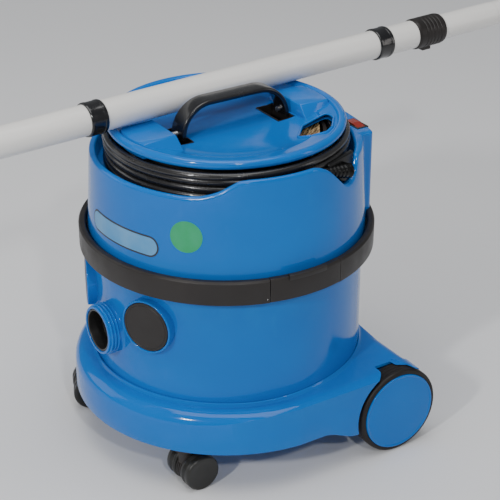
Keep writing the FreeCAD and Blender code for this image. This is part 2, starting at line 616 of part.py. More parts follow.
def make_handle():
    """An arched strap: straight legs, then an arc over the top, one thickness throughout."""
    half_width = DIMENSIONS["handle_half_width"]
    thick = DIMENSIONS["handle_thick"]
    span = DIMENSIONS["handle_half_span"]
    rise = DIMENSIONS["handle_height"]
    pivot = DIMENSIONS["handle_pivot"]
    middle = DIMENSIONS["handle_middle"]

    def arch(reach, top, corner):
        points = [Vector(-half_width, middle - reach, pivot - 5),
                  Vector(-half_width, middle - reach, top - corner)]
        left = Part.makeLine(points[0], points[1])
        bend = math.sqrt(0.5) * corner
        first = Part.Arc(points[1], Vector(-half_width, middle - reach + corner - bend, top - corner + bend),
                         Vector(-half_width, middle - reach + corner, top)).toShape()
        over = Part.makeLine(Vector(-half_width, middle - reach + corner, top),
                             Vector(-half_width, middle + reach - corner, top))
        second = Part.Arc(Vector(-half_width, middle + reach - corner, top),
                          Vector(-half_width, middle + reach - corner + bend, top - corner + bend),
                          Vector(-half_width, middle + reach, top - corner)).toShape()
        right = Part.makeLine(Vector(-half_width, middle + reach, top - corner),
                              Vector(-half_width, middle + reach, pivot - 5))
        foot = Part.makeLine(Vector(-half_width, middle + reach, pivot - 5), points[0])
        face = Part.Face(Part.Wire([left, first, over, second, right, foot]))
        return face.extrude(Vector(2 * half_width, 0, 0))

    corner = DIMENSIONS["handle_corner"]
    outside = arch(span + thick / 2, pivot + rise, corner)
    strap = outside.cut(arch(span - thick / 2, pivot + rise - thick, corner - thick))
    for leg in (middle - span, middle + span):
        hole = Part.makeCylinder(DIMENSIONS["handle_pin_radius"] + DIMENSIONS["running_gap"], 20,
                                 Vector(0, leg - 10, pivot), Vector(0, 1, 0))
        strap = strap.cut(hole)
    thing = doc.addObject("Part::Feature", "handle_strap")
    thing.Shape = strap.removeSplitter()
    keep("handle", thing)


def make_switch():
    bezel_outer = block("bezel_outer", 26.6, 14.6, 12, (32.7, 128.7, size.spine_top - 11.4))
    well = block("bezel_well", 22, 10.6, 20, (35, 130.7, size.spine_top - 8))
    keep("switch_bezel", cut("bezel_cut", bezel_outer, well))
    rocker = extruded("rocker_shape", [
        (-9.6, -4.2), (9.6, -4.2), (10.4, 1.5), (0, 3.4), (-10.4, 3.2),
    ], 10, (46, 141, size.spine_top - 1.5), "-y")
    trunnion = cylinder("rocker_trunnion", 1.5, 10.4, (46, 130.8, size.spine_top - 1.5), "y")
    keep("switch_rocker", fuse("rocker_solid", rocker, trunnion))


def around(angle, radius, height):
    """A point at an angle in degrees and a radius about the drum's axis."""
    turn = math.radians(angle)
    return Vector(radius * math.cos(turn), radius * math.sin(turn), height)


def make_relief():
    """The gland fills the notch in the head's wall; the tapered relief runs from it to the winding."""
    face = extruded("gland_face", [
        (41.5, 346), (42, 341.5), (61, 321), (76, 319), (85, 326.5), (86, 346),
    ], 80, (100, 0, 0), STANDING_YZ)
    wall = ring("gland_wall", size.head_top_radius - 1, size.head_top_radius - size.rim_wall - 0.5,
                60, (0, 0, 310))
    tip = around(16, 133, 337)
    base = around(31, 142, 329)
    facing = Rotation(Vector(0, 0, 1), base - tip)
    relief = cone("relief_taper", 4.6, 7.5, (base - tip).Length, tuple(tip), facing)
    gland = cut("gland_cut", common("gland_block", face, wall), relief)
    keep("lead_gland", gland)
    keep("strain_relief", relief)


LEAD_ROUTE = [(-129.4, 21.8, 351), (-131.5, 52, 352.5), (-131, 87, 347.5), (-128.5, 112, 318),
              (-127.5, 118, 281)]


def lead_path(points):
    """Straight runs joined by tangent arcs, each as large as its two runs allow."""
    edges = []
    start = points[0]
    for index in range(1, len(points) - 1):
        before = points[index] - points[index - 1]
        after = points[index + 1] - points[index]
        setback = 0.45 * min(before.Length, after.Length)
        half_turn = before.getAngle(after) / 2
        radius = setback / math.tan(half_turn)
        before.normalize()
        after.normalize()
        inward = after - before
        inward.normalize()
        entry = points[index] - before * setback
        leave = points[index] + after * setback
        middle = points[index] + inward * (radius / math.cos(half_turn) - radius)
        edges.append(Part.LineSegment(start, entry).toShape())
        edges.append(Part.Arc(entry, middle, leave).toShape())
        start = leave
        print("lead bend radius", round(radius, 1))
    edges.append(Part.LineSegment(start, points[-1]).toShape())
    return Part.Wire(edges)


def make_lead_tail():
    """The free end of the lead goes over the head's low edge and hangs behind it, with its plug."""
    points = [Vector(*point) for point in LEAD_ROUTE]
    path = lead_path(points)
    radius = DIMENSIONS["lead_radius"]
    profile = Part.Wire(Part.makeCircle(radius, points[0], points[1] - points[0]))
    tube = path.makePipeShell([profile], True, True)
    expected = math.pi * radius ** 2 * path.Length
    print("lead tail volume over expected", round(tube.Volume / expected, 4))
    print("lead tail length", round(path.Length, 1))
    thing = doc.addObject("Part::Feature", "lead_tail_tube")
    thing.Shape = tube
    keep("mains_lead_tail", thing)
    down = points[-1] - points[-2]
    down.normalize()
    plug = doc.addObject("Part::Feature", "plug_shape")
    plug.Shape = make_plug_shape(points[-1], down)
    keep("mains_plug", plug)


def make_plug_shape(end, down):
    """A two-pin plug hanging from the lead: a tapered grip, a flattened round body and two pins."""
    grip = Part.makeCone(5, 9, 14, end, down)
    body = Part.makeCylinder(17.5, 24, end + down * 13, down)
    outward = Vector(end.x, end.y, 0)
    outward.normalize()
    sideways = down.cross(outward)
    sideways.normalize()
    slab = Part.makeBox(60, 22, 60, Vector(-30, -11, 0))
    slab.Placement = Placement(end + down * 5, Rotation(sideways, outward, down, "ZXY"))
    body = body.common(slab)
    shape = grip.fuse(body)
    for side in (-9.5, 9.5):
        shape = shape.fuse(Part.makeCylinder(2.4, 19, end + down * 37 + sideways * side, down))
    return shape.removeSplitter()


def make_brush():
    """The dusting brush stored under the lid's opening."""
    body = cylinder("brush_body_round", size.brush_radius, 12, (size.brush_x, size.brush_y, size.brush_foot))
    keep("brush_body", body)
    tuft = cylinder("brush_tuft", size.brush_radius - 2, 16,
                    (size.brush_x, size.brush_y, size.brush_foot + 12))
    keep("brush_bristles", tuft)


# ---- wand ------------------------------------------------------------------------------------

def make_wand():
    yaw = math.radians(DIMENSIONS["wand_yaw"])
    along = Vector(-math.sin(yaw), math.cos(yaw), 0)
    middle = Vector(DIMENSIONS["wand_x"], 0, DIMENSIONS["wand_height"])
    facing = Rotation(Vector(0, 0, 1), DIMENSIONS["wand_yaw"]).multiply(TURNS["y"])
    reach = DIMENSIONS["wand_half_length"] / math.cos(yaw)

    def at(distance):
        return tuple(middle + along * distance)

    sleeve_end = DIMENSIONS["sleeve_start"] + DIMENSIONS["sleeve_length"]
    tool_end = DIMENSIONS["tool_end_length"]
    outer_bore = size.wand_radius - size.wand_wall
    outer = ring("wand_outer", size.wand_radius, outer_bore, reach + sleeve_end - 6 - tool_end,
                 at(tool_end - reach), facing)
    spigot = ring("wand_tool_end", size.tool_end_radius, outer_bore, size.tool_end_length, at(-reach), facing)
    keep("wand_outer_tube", fuse("wand_outer_solid", outer, spigot))
    hose_end = DIMENSIONS["hose_end_length"]
    inner_bore = size.inner_tube_radius - 1.4
    inner = ring("wand_inner", size.inner_tube_radius, inner_bore, reach - 60 - hose_end, at(60), facing)
    cuff = ring("wand_hose_end", size.hose_end_radius, inner_bore, size.hose_end_length,
                at(reach - hose_end), facing)
    keep("wand_inner_tube", fuse("wand_inner_solid", inner, cuff))
    for name, start in (("front", "front_collar"), ("rear", "rear_collar")):
        collar = ring("wand_collar_" + name, size.collar_radius, size.wand_radius, size.collar_length,
                      at(DIMENSIONS[start]), facing)
        keep("wand_collar_" + name, collar)
    sleeve = ring("wand_sleeve", size.sleeve_radius, size.wand_radius, size.sleeve_length,
                  at(DIMENSIONS["sleeve_start"]), facing)
    end_ring = ring("wand_sleeve_end", size.sleeve_radius, size.inner_tube_radius + 0.15, 5,
                    at(sleeve_end - 5), facing)
    keep("wand_lock_sleeve", fuse("wand_sleeve_solid", sleeve, end_ring))
    button = block("lock_button", 9, 12, 3.4)
    under_sleeve = Vector(-4.5, 0, -21.3)
    button.Placement = Placement(Vector(*at(299)) + under_sleeve,
                                 Rotation(Vector(0, 0, 1), DIMENSIONS["wand_yaw"]))
    keep("wand_lock_button", button)


def check_and_export():
    doc.recompute()
    for thing in doc.Objects:
        if "Invalid" in thing.State or "Error" in thing.State:
            raise RuntimeError("failed object: " + thing.Name)
    os.makedirs("parts", exist_ok=True)
    for thing in subparts:
        shape = thing.Shape
        if shape.isNull() or not shape.isValid() or not shape.Solids:
            raise RuntimeError("bad shape: " + thing.Label)
        shape.exportStep(os.path.join("parts", thing.Label + ".step"))
    print(len(subparts), "sub-parts written")


drum_screws = make_chassis()
make_rear_wheels()
make_castor(1, "castor_right")
make_castor(-1, "castor_left")
make_drum(drum_screws)
make_inlet()
make_drum_contents()
make_band()
make_head()
make_lid()
make_handle()
make_switch()
make_relief()
make_lead_tail()
make_brush()
make_wand()
check_and_export()
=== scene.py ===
import json
import math
import random

import bmesh
import bpy
from mathutils import Matrix, Vector


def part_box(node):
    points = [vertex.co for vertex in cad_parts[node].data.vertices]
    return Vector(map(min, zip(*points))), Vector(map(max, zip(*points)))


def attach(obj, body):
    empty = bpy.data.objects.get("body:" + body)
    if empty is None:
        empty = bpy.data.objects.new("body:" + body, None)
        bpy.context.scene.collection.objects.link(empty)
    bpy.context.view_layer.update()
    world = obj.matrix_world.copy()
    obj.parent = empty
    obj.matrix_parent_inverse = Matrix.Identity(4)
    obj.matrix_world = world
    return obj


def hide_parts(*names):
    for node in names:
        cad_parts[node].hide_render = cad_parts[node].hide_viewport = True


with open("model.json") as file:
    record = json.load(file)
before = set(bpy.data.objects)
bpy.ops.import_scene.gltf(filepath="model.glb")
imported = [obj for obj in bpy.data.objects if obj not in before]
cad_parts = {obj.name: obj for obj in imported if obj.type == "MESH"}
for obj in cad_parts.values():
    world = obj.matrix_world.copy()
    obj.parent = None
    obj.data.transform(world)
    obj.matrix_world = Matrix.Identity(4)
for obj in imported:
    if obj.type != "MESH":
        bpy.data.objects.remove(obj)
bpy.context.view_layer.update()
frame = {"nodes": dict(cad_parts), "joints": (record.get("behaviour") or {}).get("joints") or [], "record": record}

MM = 0.001
SCENE = bpy.context.scene
CAMERA_PLACE = (1.3562, -0.8512, 1.0214)
CAMERA_ANGLES = (56.974, 27.018, 0.15)
CAMERA_LENS, CAMERA_SENSOR = 117.99, 36
AIM = (0, 0, 0.2)


# ---- camera, floor and light ----

def make_camera():
    """The main view: from the right of the hose inlet, 27 degrees above the floor."""
    azimuth, elevation, roll = (math.radians(angle) for angle in CAMERA_ANGLES)
    back = Vector((math.sin(azimuth) * math.cos(elevation),
                   -math.cos(azimuth) * math.cos(elevation), math.sin(elevation)))
    right = Vector((math.cos(azimuth), math.sin(azimuth), 0))
    up = back.cross(right)
    turned_right = right * math.cos(roll) + up * math.sin(roll)
    turned_up = up * math.cos(roll) - right * math.sin(roll)
    data = bpy.data.cameras.new("camera")
    data.lens = CAMERA_LENS
    data.sensor_width = CAMERA_SENSOR
    camera = bpy.data.objects.new("camera", data)
    facing = Matrix((turned_right, turned_up, back)).transposed().to_4x4()
    camera.matrix_world = Matrix.Translation(CAMERA_PLACE) @ facing
    SCENE.collection.objects.link(camera)
    SCENE.camera = camera


def add_light(name, place, target, width, height, watts, colour=(1, 1, 1)):
    data = bpy.data.lights.new(name, "AREA")
    data.shape = "RECTANGLE"
    data.size = width
    data.size_y = height
    data.energy = watts
    data.color = colour
    light = bpy.data.objects.new(name, data)
    light.location = place
    light.rotation_euler = (Vector(target) - Vector(place)).to_track_quat("-Z", "Y").to_euler()
    SCENE.collection.objects.link(light)


def make_lights():
    add_light("window_left", (1.15, -2.4, 1.75), AIM, 0.15, 0.22, 34)
    add_light("window_front", (2.6, -0.95, 2.3), AIM, 0.13, 0.18, 24)
    add_light("wall_left", (-1.9, -1.9, 1.3), AIM, 1.6, 1.6, 12)
    add_light("ceiling", (0.2, -0.2, 3.0), (0, 0, 0), 2.4, 2.4, 56)
    add_light("wall_right", (2.0, 2.2, 1.1), (0, 0, 0.25), 0.5, 1.6, 7, (1, 0.95, 0.92))
    world = bpy.data.worlds.new("studio")
    world.use_nodes = True
    world.node_tree.nodes["Background"].inputs["Color"].default_value = (0.82, 0.85, 0.9, 1)
    world.node_tree.nodes["Background"].inputs["Strength"].default_value = 0.28
    SCENE.world = world


def make_floor():
    mesh = bpy.data.meshes.new("floor")
    reach = 9.0
    mesh.from_pydata([(-reach, -reach, 0), (reach, -reach, 0), (reach, reach, 0), (-reach, reach, 0)],
                     [], [(0, 1, 2, 3)])
    floor = bpy.data.objects.new("floor", mesh)
    SCENE.collection.objects.link(floor)
    paint = Finish("floor_paint", roughness=0.75)
    paint.colour(paint.mixed(paint.noise(1.1, 3), (0.74, 0.74, 0.745), (0.80, 0.80, 0.802)))
    paint.bump(paint.noise(260, 2), 0.05, 0.0004)
    mesh.materials.append(paint.material)


# ---- materials ----

class Finish:
    """A procedural material: noise-mixed colour, varied roughness and bump on one shader."""

    def __init__(self, name, **constants):
        self.material = bpy.data.materials.new(name)
        self.material.use_nodes = True
        self.tree = self.material.node_tree
        self.shader = self.tree.nodes["Principled BSDF"]
        self.place = self.add("ShaderNodeTexCoord").outputs["Object"]
        names = {"roughness": "Roughness", "metallic": "Metallic", "coat": "Coat Weight",
                 "coat_roughness": "Coat Roughness", "sheen": "Sheen Weight", "ior": "IOR",
                 "specular": "Specular IOR Level"}
        for key, value in constants.items():
            self.shader.inputs[names[key]].default_value = value

    def add(self, kind, **settings):
        node = self.tree.nodes.new(kind)
        for key, value in settings.items():
            setattr(node, key, value)
        return node

    def join(self, output, socket):
        self.tree.links.new(output, socket)

    def noise(self, scale, detail=2.0, stretch=None):
        """Noise in object space, metres; stretch multiplies the scale on each axis."""
        node = self.add("ShaderNodeTexNoise")
        node.inputs["Scale"].default_value = scale
        node.inputs["Detail"].default_value = detail
        place = self.place
        if stretch:
            mapping = self.add("ShaderNodeMapping")
            mapping.inputs["Scale"].default_value = stretch
            self.join(place, mapping.inputs["Vector"])
            place = mapping.outputs["Vector"]
        self.join(place, node.inputs["Vector"])
        return node.outputs["Fac"]

    def ranged(self, value, low, high, to_low=0.0, to_high=1.0):
        node = self.add("ShaderNodeMapRange")
        self.join(value, node.inputs["Value"])
        for key, amount in (("From Min", low), ("From Max", high), ("To Min", to_low), ("To Max", to_high)):
            node.inputs[key].default_value = amount
        return node.outputs["Result"]

    def product(self, first, second):
        node = self.add("ShaderNodeMath", operation="MULTIPLY")
        self.join(first, node.inputs[0])
        self.join(second, node.inputs[1])
        return node.outputs["Value"]

    def mixed(self, factor, first, second):
        """A mix of two colours, each a colour triple or another node's output."""
        node = self.add("ShaderNodeMix", data_type="RGBA")
        self.join(factor, node.inputs["Factor"])
        for socket, value in ((node.inputs[6], first), (node.inputs[7], second)):
            if isinstance(value, tuple):
                socket.default_value = (*value, 1)
            else:
                self.join(value, socket)
        return node.outputs[2]

    def edges(self, low=0.52, high=0.62):
        """One on worn convex edges, nothing elsewhere."""
        geometry = self.add("ShaderNodeNewGeometry")
        return self.ranged(geometry.outputs["Pointiness"], low, high)

    def upward(self, low=0.6, high=1.0):
        """One on faces that look up, where dust settles."""
        geometry = self.add("ShaderNodeNewGeometry")
        parts = self.add("ShaderNodeSeparateXYZ")
        self.join(geometry.outputs["Normal"], parts.inputs["Vector"])
        return self.ranged(parts.outputs["Z"], low, high)

    def colour(self, output):
        self.join(output, self.shader.inputs["Base Color"])

    def rough(self, value, low, high):
        self.join(self.ranged(value, 0.3, 0.7, low, high), self.shader.inputs["Roughness"])

    def bump(self, height, strength, distance):
        node = self.add("ShaderNodeBump")
        node.inputs["Strength"].default_value = strength
        node.inputs["Distance"].default_value = distance
        self.join(height, node.inputs["Height"])
        self.join(node.outputs["Normal"], self.shader.inputs["Normal"])


def moulded(name, dark, light, worn, roughness, texture, coat=0.0, dust=0.05, **constants):
    """Moulded plastic: slow colour drift, worn edges, dust on top, fine moulding texture."""
    paint = Finish(name, coat=coat, **constants)
    base = paint.mixed(paint.ranged(paint.noise(9, 3), 0.35, 0.65), dark, light)
    scuffs = paint.ranged(paint.noise(70, 6, (1.0, 1.0, 0.35)), 0.62, 0.8, 0.0, 0.12)
    base = paint.mixed(scuffs, base, worn)
    base = paint.mixed(paint.product(paint.edges(), paint.ranged(paint.noise(40, 4), 0.3, 0.8, 0.0, 0.6)),
                       base, worn)
    settled = paint.product(paint.upward(), paint.ranged(paint.noise(120, 5), 0.35, 0.8, 0.0, dust))
    paint.colour(paint.mixed(settled, base, tuple(0.75 * value + 0.12 for value in worn)))
    paint.rough(paint.noise(55, 5), *roughness)
    paint.bump(paint.noise(texture[0], 3), texture[1], texture[2])
    return paint.material


def woven(name, dark, light, threads, roughness=0.9, sheen=0.2):
    """Cloth from two crossed sets of threads."""
    paint = Finish(name, roughness=roughness, sheen=sheen)
    waves = []
    for direction in ("X", "Z"):
        wave = paint.add("ShaderNodeTexWave", bands_direction=direction)
        wave.inputs["Scale"].default_value = threads
        wave.inputs["Distortion"].default_value = 0.6
        paint.join(paint.place, wave.inputs["Vector"])
        waves.append(wave.outputs["Fac"])
    weave = paint.product(*waves)
    paint.colour(paint.mixed(paint.noise(60, 4), dark, light))
    paint.bump(weave, 0.6, 0.0004)
    return paint.material


def streaked(name, dark, light, stretch, metallic, roughness, strength=0.15, coat=0.0):
    """Drawn metal or a coated tube, with fine marks along one direction."""
    paint = Finish(name, metallic=metallic, coat=coat)
    marks = paint.noise(90, 5, stretch)
    base = paint.mixed(paint.ranged(marks, 0.35, 0.65), dark, light)
    specks = paint.ranged(paint.noise(420, 2), 0.66, 0.74, 0.0, 0.25)
    paint.colour(paint.mixed(specks, base, tuple(0.7 * value for value in dark)))
    paint.rough(paint.noise(35, 4), *roughness)
    paint.bump(marks, strength, 0.0002)
    return paint.material


def make_materials():
    blue_dark, blue_light, blue_worn = (0.0, 0.132, 0.49), (0.0, 0.148, 0.535), (0.02, 0.22, 0.62)
    return {
        "blue_shell": moulded("blue_plastic", blue_dark, blue_light, blue_worn, (0.08, 0.15),
                              (1400, 0.06, 0.0002), coat=0.05, specular=0.3),
        "black_trim": moulded("black_satin", (0.016, 0.0135, 0.0125), (0.023, 0.0195, 0.018),
                              (0.06, 0.054, 0.05), (0.36, 0.5), (1700, 0.2, 0.0003), specular=0.34),
        "black_gloss": moulded("black_gloss_plastic", (0.006, 0.006, 0.007), (0.009, 0.009, 0.010),
                               (0.04, 0.04, 0.04), (0.16, 0.28), (1300, 0.10, 0.0002), coat=0.3),
        "tyre": moulded("tyre_rubber", (0.011, 0.009, 0.008), (0.016, 0.013, 0.012),
                        (0.05, 0.043, 0.038), (0.38, 0.56), (900, 0.25, 0.0004), specular=0.3),
        "castor_rubber": moulded("castor_nylon", (0.010, 0.010, 0.009), (0.015, 0.015, 0.013),
                                 (0.05, 0.05, 0.045), (0.26, 0.4), (1500, 0.15, 0.0003)),
        "black_rubber": moulded("soft_black_rubber", (0.010, 0.010, 0.010), (0.016, 0.015, 0.015),
                                (0.04, 0.04, 0.04), (0.28, 0.42), (1100, 0.2, 0.0003)),
        "lead_sheath": moulded("lead_rubber", (0.008, 0.008, 0.008), (0.014, 0.013, 0.013),
                               (0.05, 0.05, 0.05), (0.2, 0.34), (800, 0.12, 0.0003), coat=0.2),
        "wand_coating": streaked("wand_grey", (0.77, 0.755, 0.72), (0.83, 0.815, 0.78), (1, 0.05, 1),
                                 0.0, (0.30, 0.40), 0.06, coat=0.1),
        "steel": streaked("plated_steel", (0.50, 0.50, 0.51), (0.62, 0.62, 0.62), (1, 0.1, 1),
                          1.0, (0.22, 0.38)),
        "motor_metal": streaked("cast_metal", (0.25, 0.25, 0.26), (0.35, 0.35, 0.36), (1, 1, 1),
                                0.9, (0.45, 0.6), 0.4),
        "bag_cloth": woven("bag_fleece", (0.70, 0.69, 0.65), (0.80, 0.79, 0.76), 300),
        "filter_cloth": woven("filter_felt", (0.62, 0.62, 0.63), (0.75, 0.75, 0.76), 420),
        "gland": moulded("gland_black", (0.003, 0.003, 0.003), (0.005, 0.005, 0.005), (0.02, 0.02, 0.02),
                         (0.2, 0.32), (1300, 0.08, 0.0002), specular=0.2),
        "bristle": streaked("bristle_fibre", (0.12, 0.066, 0.028), (0.66, 0.46, 0.22), (9, 9, 0.2),
                            0.0, (0.45, 0.6), 0.1),
        "switch_red": moulded("switch_orange", (0.26, 0.020, 0.012), (0.32, 0.026, 0.014),
                              (0.5, 0.12, 0.07), (0.2, 0.3), (1200, 0.08, 0.0002)),
    }


# ---- mesh tools ----

def smooth(value, low, high):
    """Zero below low, one above high, and an even S between."""
    share = min(max((value - low) / (high - low), 0.0), 1.0)
    return share * share * (3 - 2 * share)


def blend(first, second, share):
    return first + (second - first) * share


def link_piece(name, mesh, slot, body, material=None, replaces=(), sharp=32.0):
    """Finish a mesh as a piece: smooth shading, its material (the slot's, unless one is given) and the body it
    rides on.
    """
    tool = bmesh_of(mesh)
    tool.to_mesh(mesh)
    tool.free()
    mesh.materials.clear()
    mesh.materials.append(material or MATERIALS[slot])
    mesh.polygons.foreach_set("use_smooth", [True] * len(mesh.polygons))
    mesh.set_sharp_from_angle(angle=math.radians(sharp))
    piece = bpy.data.objects.new(name, mesh)
    SCENE.collection.objects.link(piece)
    if replaces:
        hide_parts(*replaces)
    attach(piece, body)
    return piece


def bmesh_of(mesh):
    tool = bmesh.new()
    tool.from_mesh(mesh)
    bmesh.ops.recalc_face_normals(tool, faces=tool.faces)
    return tool


def mesh_from(name, points, faces):
    mesh = bpy.data.meshes.new(name)
    mesh.from_pydata([Vector(point) * MM for point in points], [], faces)
    mesh.validate()
    return mesh


def rounded(corners, steps=5, closed=True):
    """Round the corners of an outline; each corner is (across, up) or (across, up, radius)."""
    points = []
    count = len(corners)
    for index, corner in enumerate(corners):
        here = Vector(corner[:2])
        if len(corner) < 3 or (not closed and index in (0, count - 1)):
            points.append(tuple(here))
            continue
        before = (Vector(corners[index - 1][:2]) - here).normalized()
        after = (Vector(corners[(index + 1) % count][:2]) - here).normalized()
        half = before.angle(after) / 2
        middle = here + (before + after).normalized() * (corner[2] / math.sin(half))
        first = here + before * (corner[2] / math.tan(half)) - middle
        last = here + after * (corner[2] / math.tan(half)) - middle
        start = math.atan2(first.y, first.x)
        sweep = (math.atan2(last.y, last.x) - start + math.pi) % (2 * math.pi) - math.pi
        for step in range(steps + 1):
            turn = start + sweep * step / steps
            points.append((middle.x + corner[2] * math.cos(turn), middle.y + corner[2] * math.sin(turn)))
    return points


def rounded_plan(corners, radius, grow=0.0):
    """An outline with rounded corners, grown outward from its own middle."""
    middle = Vector((sum(x for x, y in corners), sum(y for x, y in corners))) / len(corners)
    points = [Vector(point) for point in rounded([(x, y, radius) for x, y in corners], 4)]
    return [tuple(point + (point - middle).normalized() * grow) for point in points]


def oblong(left, right, low, high, radius, steps):
    """A rectangle with four equal rounded corners."""
    corners = [(left, low), (right, low), (right, high), (left, high)]
    return rounded([(*corner, radius) for corner in corners], steps)


def arc(centre, radius, start, finish, steps):
    """Points of an arc, angles in degrees."""
    turns = [math.radians(start + (finish - start) * step / steps) for step in range(steps + 1)]
    return [(centre[0] + radius * math.cos(turn), centre[1] + radius * math.sin(turn)) for turn in turns]


def lathe(name, outline, centre=(0, 0, 0), axis=(0, 0, 1), steps=128):
    """Turn an outline of (radius, height) about an axis; a zero radius makes a pole."""
    facing = Vector((0, 0, 1)).rotation_difference(Vector(axis)).to_matrix()
    points = []
    rings = []
    for radius, height in outline:
        count = steps if radius > 1e-6 else 1
        rings.append([len(points) + step for step in range(count)])
        for step in range(count):
            turn = 2 * math.pi * step / steps
            spot = Vector((radius * math.cos(turn), radius * math.sin(turn), height))
            points.append(facing @ spot + Vector(centre))
    hollow = all(len(circle) > 1 for circle in rings)
    faces = []
    for lower, upper in zip(rings, rings[1:] + (rings[:1] if hollow else [])):
        for step in range(steps):
            after = (step + 1) % steps
            corners = [lower[step % len(lower)], lower[after % len(lower)],
                       upper[after % len(upper)], upper[step % len(upper)]]
            face = [corner for spot, corner in enumerate(corners) if corner not in corners[:spot]]
            if len(face) > 2:
                faces.append(face)
    return mesh_from(name, points, faces)


def skin(name, rows, wrap=False):
    """Closed sections joined in order; wrapped into a ring, or capped at both ends."""
    width = len(rows[0])
    points = [point for row in rows for point in row]
    faces = []
    for index in range(len(rows) if wrap else len(rows) - 1):
        first = index * width
        second = (index + 1) % len(rows) * width
        for column in range(width):
            after = (column + 1) % width
            faces.append((first + column, first + after, second + after, second + column))
    if not wrap:
        faces.append(tuple(range(width)))
        faces.append(tuple(reversed(range(len(points) - width, len(points)))))
    return mesh_from(name, points, faces)


def polar(angle, radius, height):
    turn = math.radians(angle)
    return (radius * math.cos(turn), radius * math.sin(turn), height)


def arc_sweep(name, outline, start, finish, steps):
    """Sweep an outline of (radius, height) about the drum's axis between two angles."""
    angles = [start + (finish - start) * step / steps for step in range(steps + 1)]
    return skin(name, [[polar(angle, radius, height) for radius, height in outline] for angle in angles])


def box_mesh(name, low, high):
    """A plain box, used only to cut other meshes."""
    points = [(x, y, z) for z in (low[2], high[2]) for y in (low[1], high[1]) for x in (low[0], high[0])]
    faces = [(0, 2, 3, 1), (4, 5, 7, 6), (0, 1, 5, 4), (2, 6, 7, 3), (0, 4, 6, 2), (1, 3, 7, 5)]
    return mesh_from(name, points, faces)


def joined(name, meshes):
    """Several closed meshes as one piece's mesh."""
    tool = bmesh.new()
    for mesh in meshes:
        tool.from_mesh(mesh)
    result = bpy.data.meshes.new(name)
    tool.to_mesh(result)
    tool.free()
    return result


def carved(mesh, tools):
    """The mesh with each tool mesh cut from it."""
    target = bpy.data.objects.new("carve_target", mesh)
    SCENE.collection.objects.link(target)
    helpers = [target]
    for tool in tools:
        helper = bpy.data.objects.new("carve_tool", tool)
        SCENE.collection.objects.link(helper)
        helpers.append(helper)
        modifier = target.modifiers.new("carve", "BOOLEAN")
        modifier.operation = "DIFFERENCE"
        modifier.solver = "EXACT"
        modifier.object = helper
    view = bpy.context.evaluated_depsgraph_get()
    result = bpy.data.meshes.new_from_object(target.evaluated_get(view))
    for helper in helpers:
        bpy.data.objects.remove(helper)
    return result


def bevelled(mesh, width, segments=3, angle=35.0):
    """The mesh with its sharp edges rounded."""
    tool = bmesh_of(mesh)
    sharp = [edge for edge in tool.edges
             if len(edge.link_faces) == 2 and edge.calc_face_angle() > math.radians(angle)]
    bmesh.ops.bevel(tool, geom=sharp, offset=width * MM, segments=segments, profile=0.5,
                    affect="EDGES", clamp_overlap=True)
    tool.to_mesh(mesh)
    tool.free()
    return mesh


def tube(name, path, radius, sides=10, closed=False, taper=None):
    """A round tube along a path, its section carried without twist."""
    spots = [Vector(point) for point in path]
    count = len(spots)
    rows = []
    across = None
    for index, spot in enumerate(spots):
        ahead = spots[(index + 1) % count] if closed or index < count - 1 else spot
        behind = spots[index - 1] if closed or index > 0 else spot
        along = (ahead - behind).normalized()
        if across is None:
            across = along.orthogonal()
        across = (across - along * across.dot(along)).normalized()
        other = along.cross(across)
        size = radius * (taper[index] if taper else 1.0)
        turns = [2 * math.pi * side / sides for side in range(sides)]
        rows.append([spot + (across * math.cos(turn) + other * math.sin(turn)) * size for turn in turns])
    return skin(name, rows, wrap=closed)


MATERIALS = make_materials()


# ---- chassis and wheels ----

BASE_RADIUS, BASE_SIDE, BASE_REAR, REAR_CORNER, RING_WALL = 170.7, 170.0, 137.0, 20.0, 151.2
WHEEL_Y, WHEEL_Z, WHEEL_RADIUS, CAP_RADIUS = 114.0, 49.5, 49.5, 44.3
TYRE_ROOM, ARCH_RADIUS, ARCH_INSIDE = 50.6, 54.0, 148.5


def base_reach(angle):
    """The chassis plan's radius at an angle: round in front, straight sides, rounded rear corners."""
    turn = math.radians(angle)
    across, along = abs(math.cos(turn)), math.sin(turn)
    if along <= 0:
        return min(BASE_RADIUS, BASE_SIDE / max(across, 1e-6))
    reach = min(BASE_SIDE / max(across, 1e-6), BASE_REAR / along)
    corner = Vector((BASE_SIDE - REAR_CORNER, BASE_REAR - REAR_CORNER))
    if reach * across > corner.x and reach * along > corner.y:
        heading = Vector((across, along))
        nearest = corner.dot(heading)
        aside = corner.length_squared - nearest ** 2
        reach = nearest + math.sqrt(max(REAR_CORNER ** 2 - aside, 0))
    return max(reach, RING_WALL)


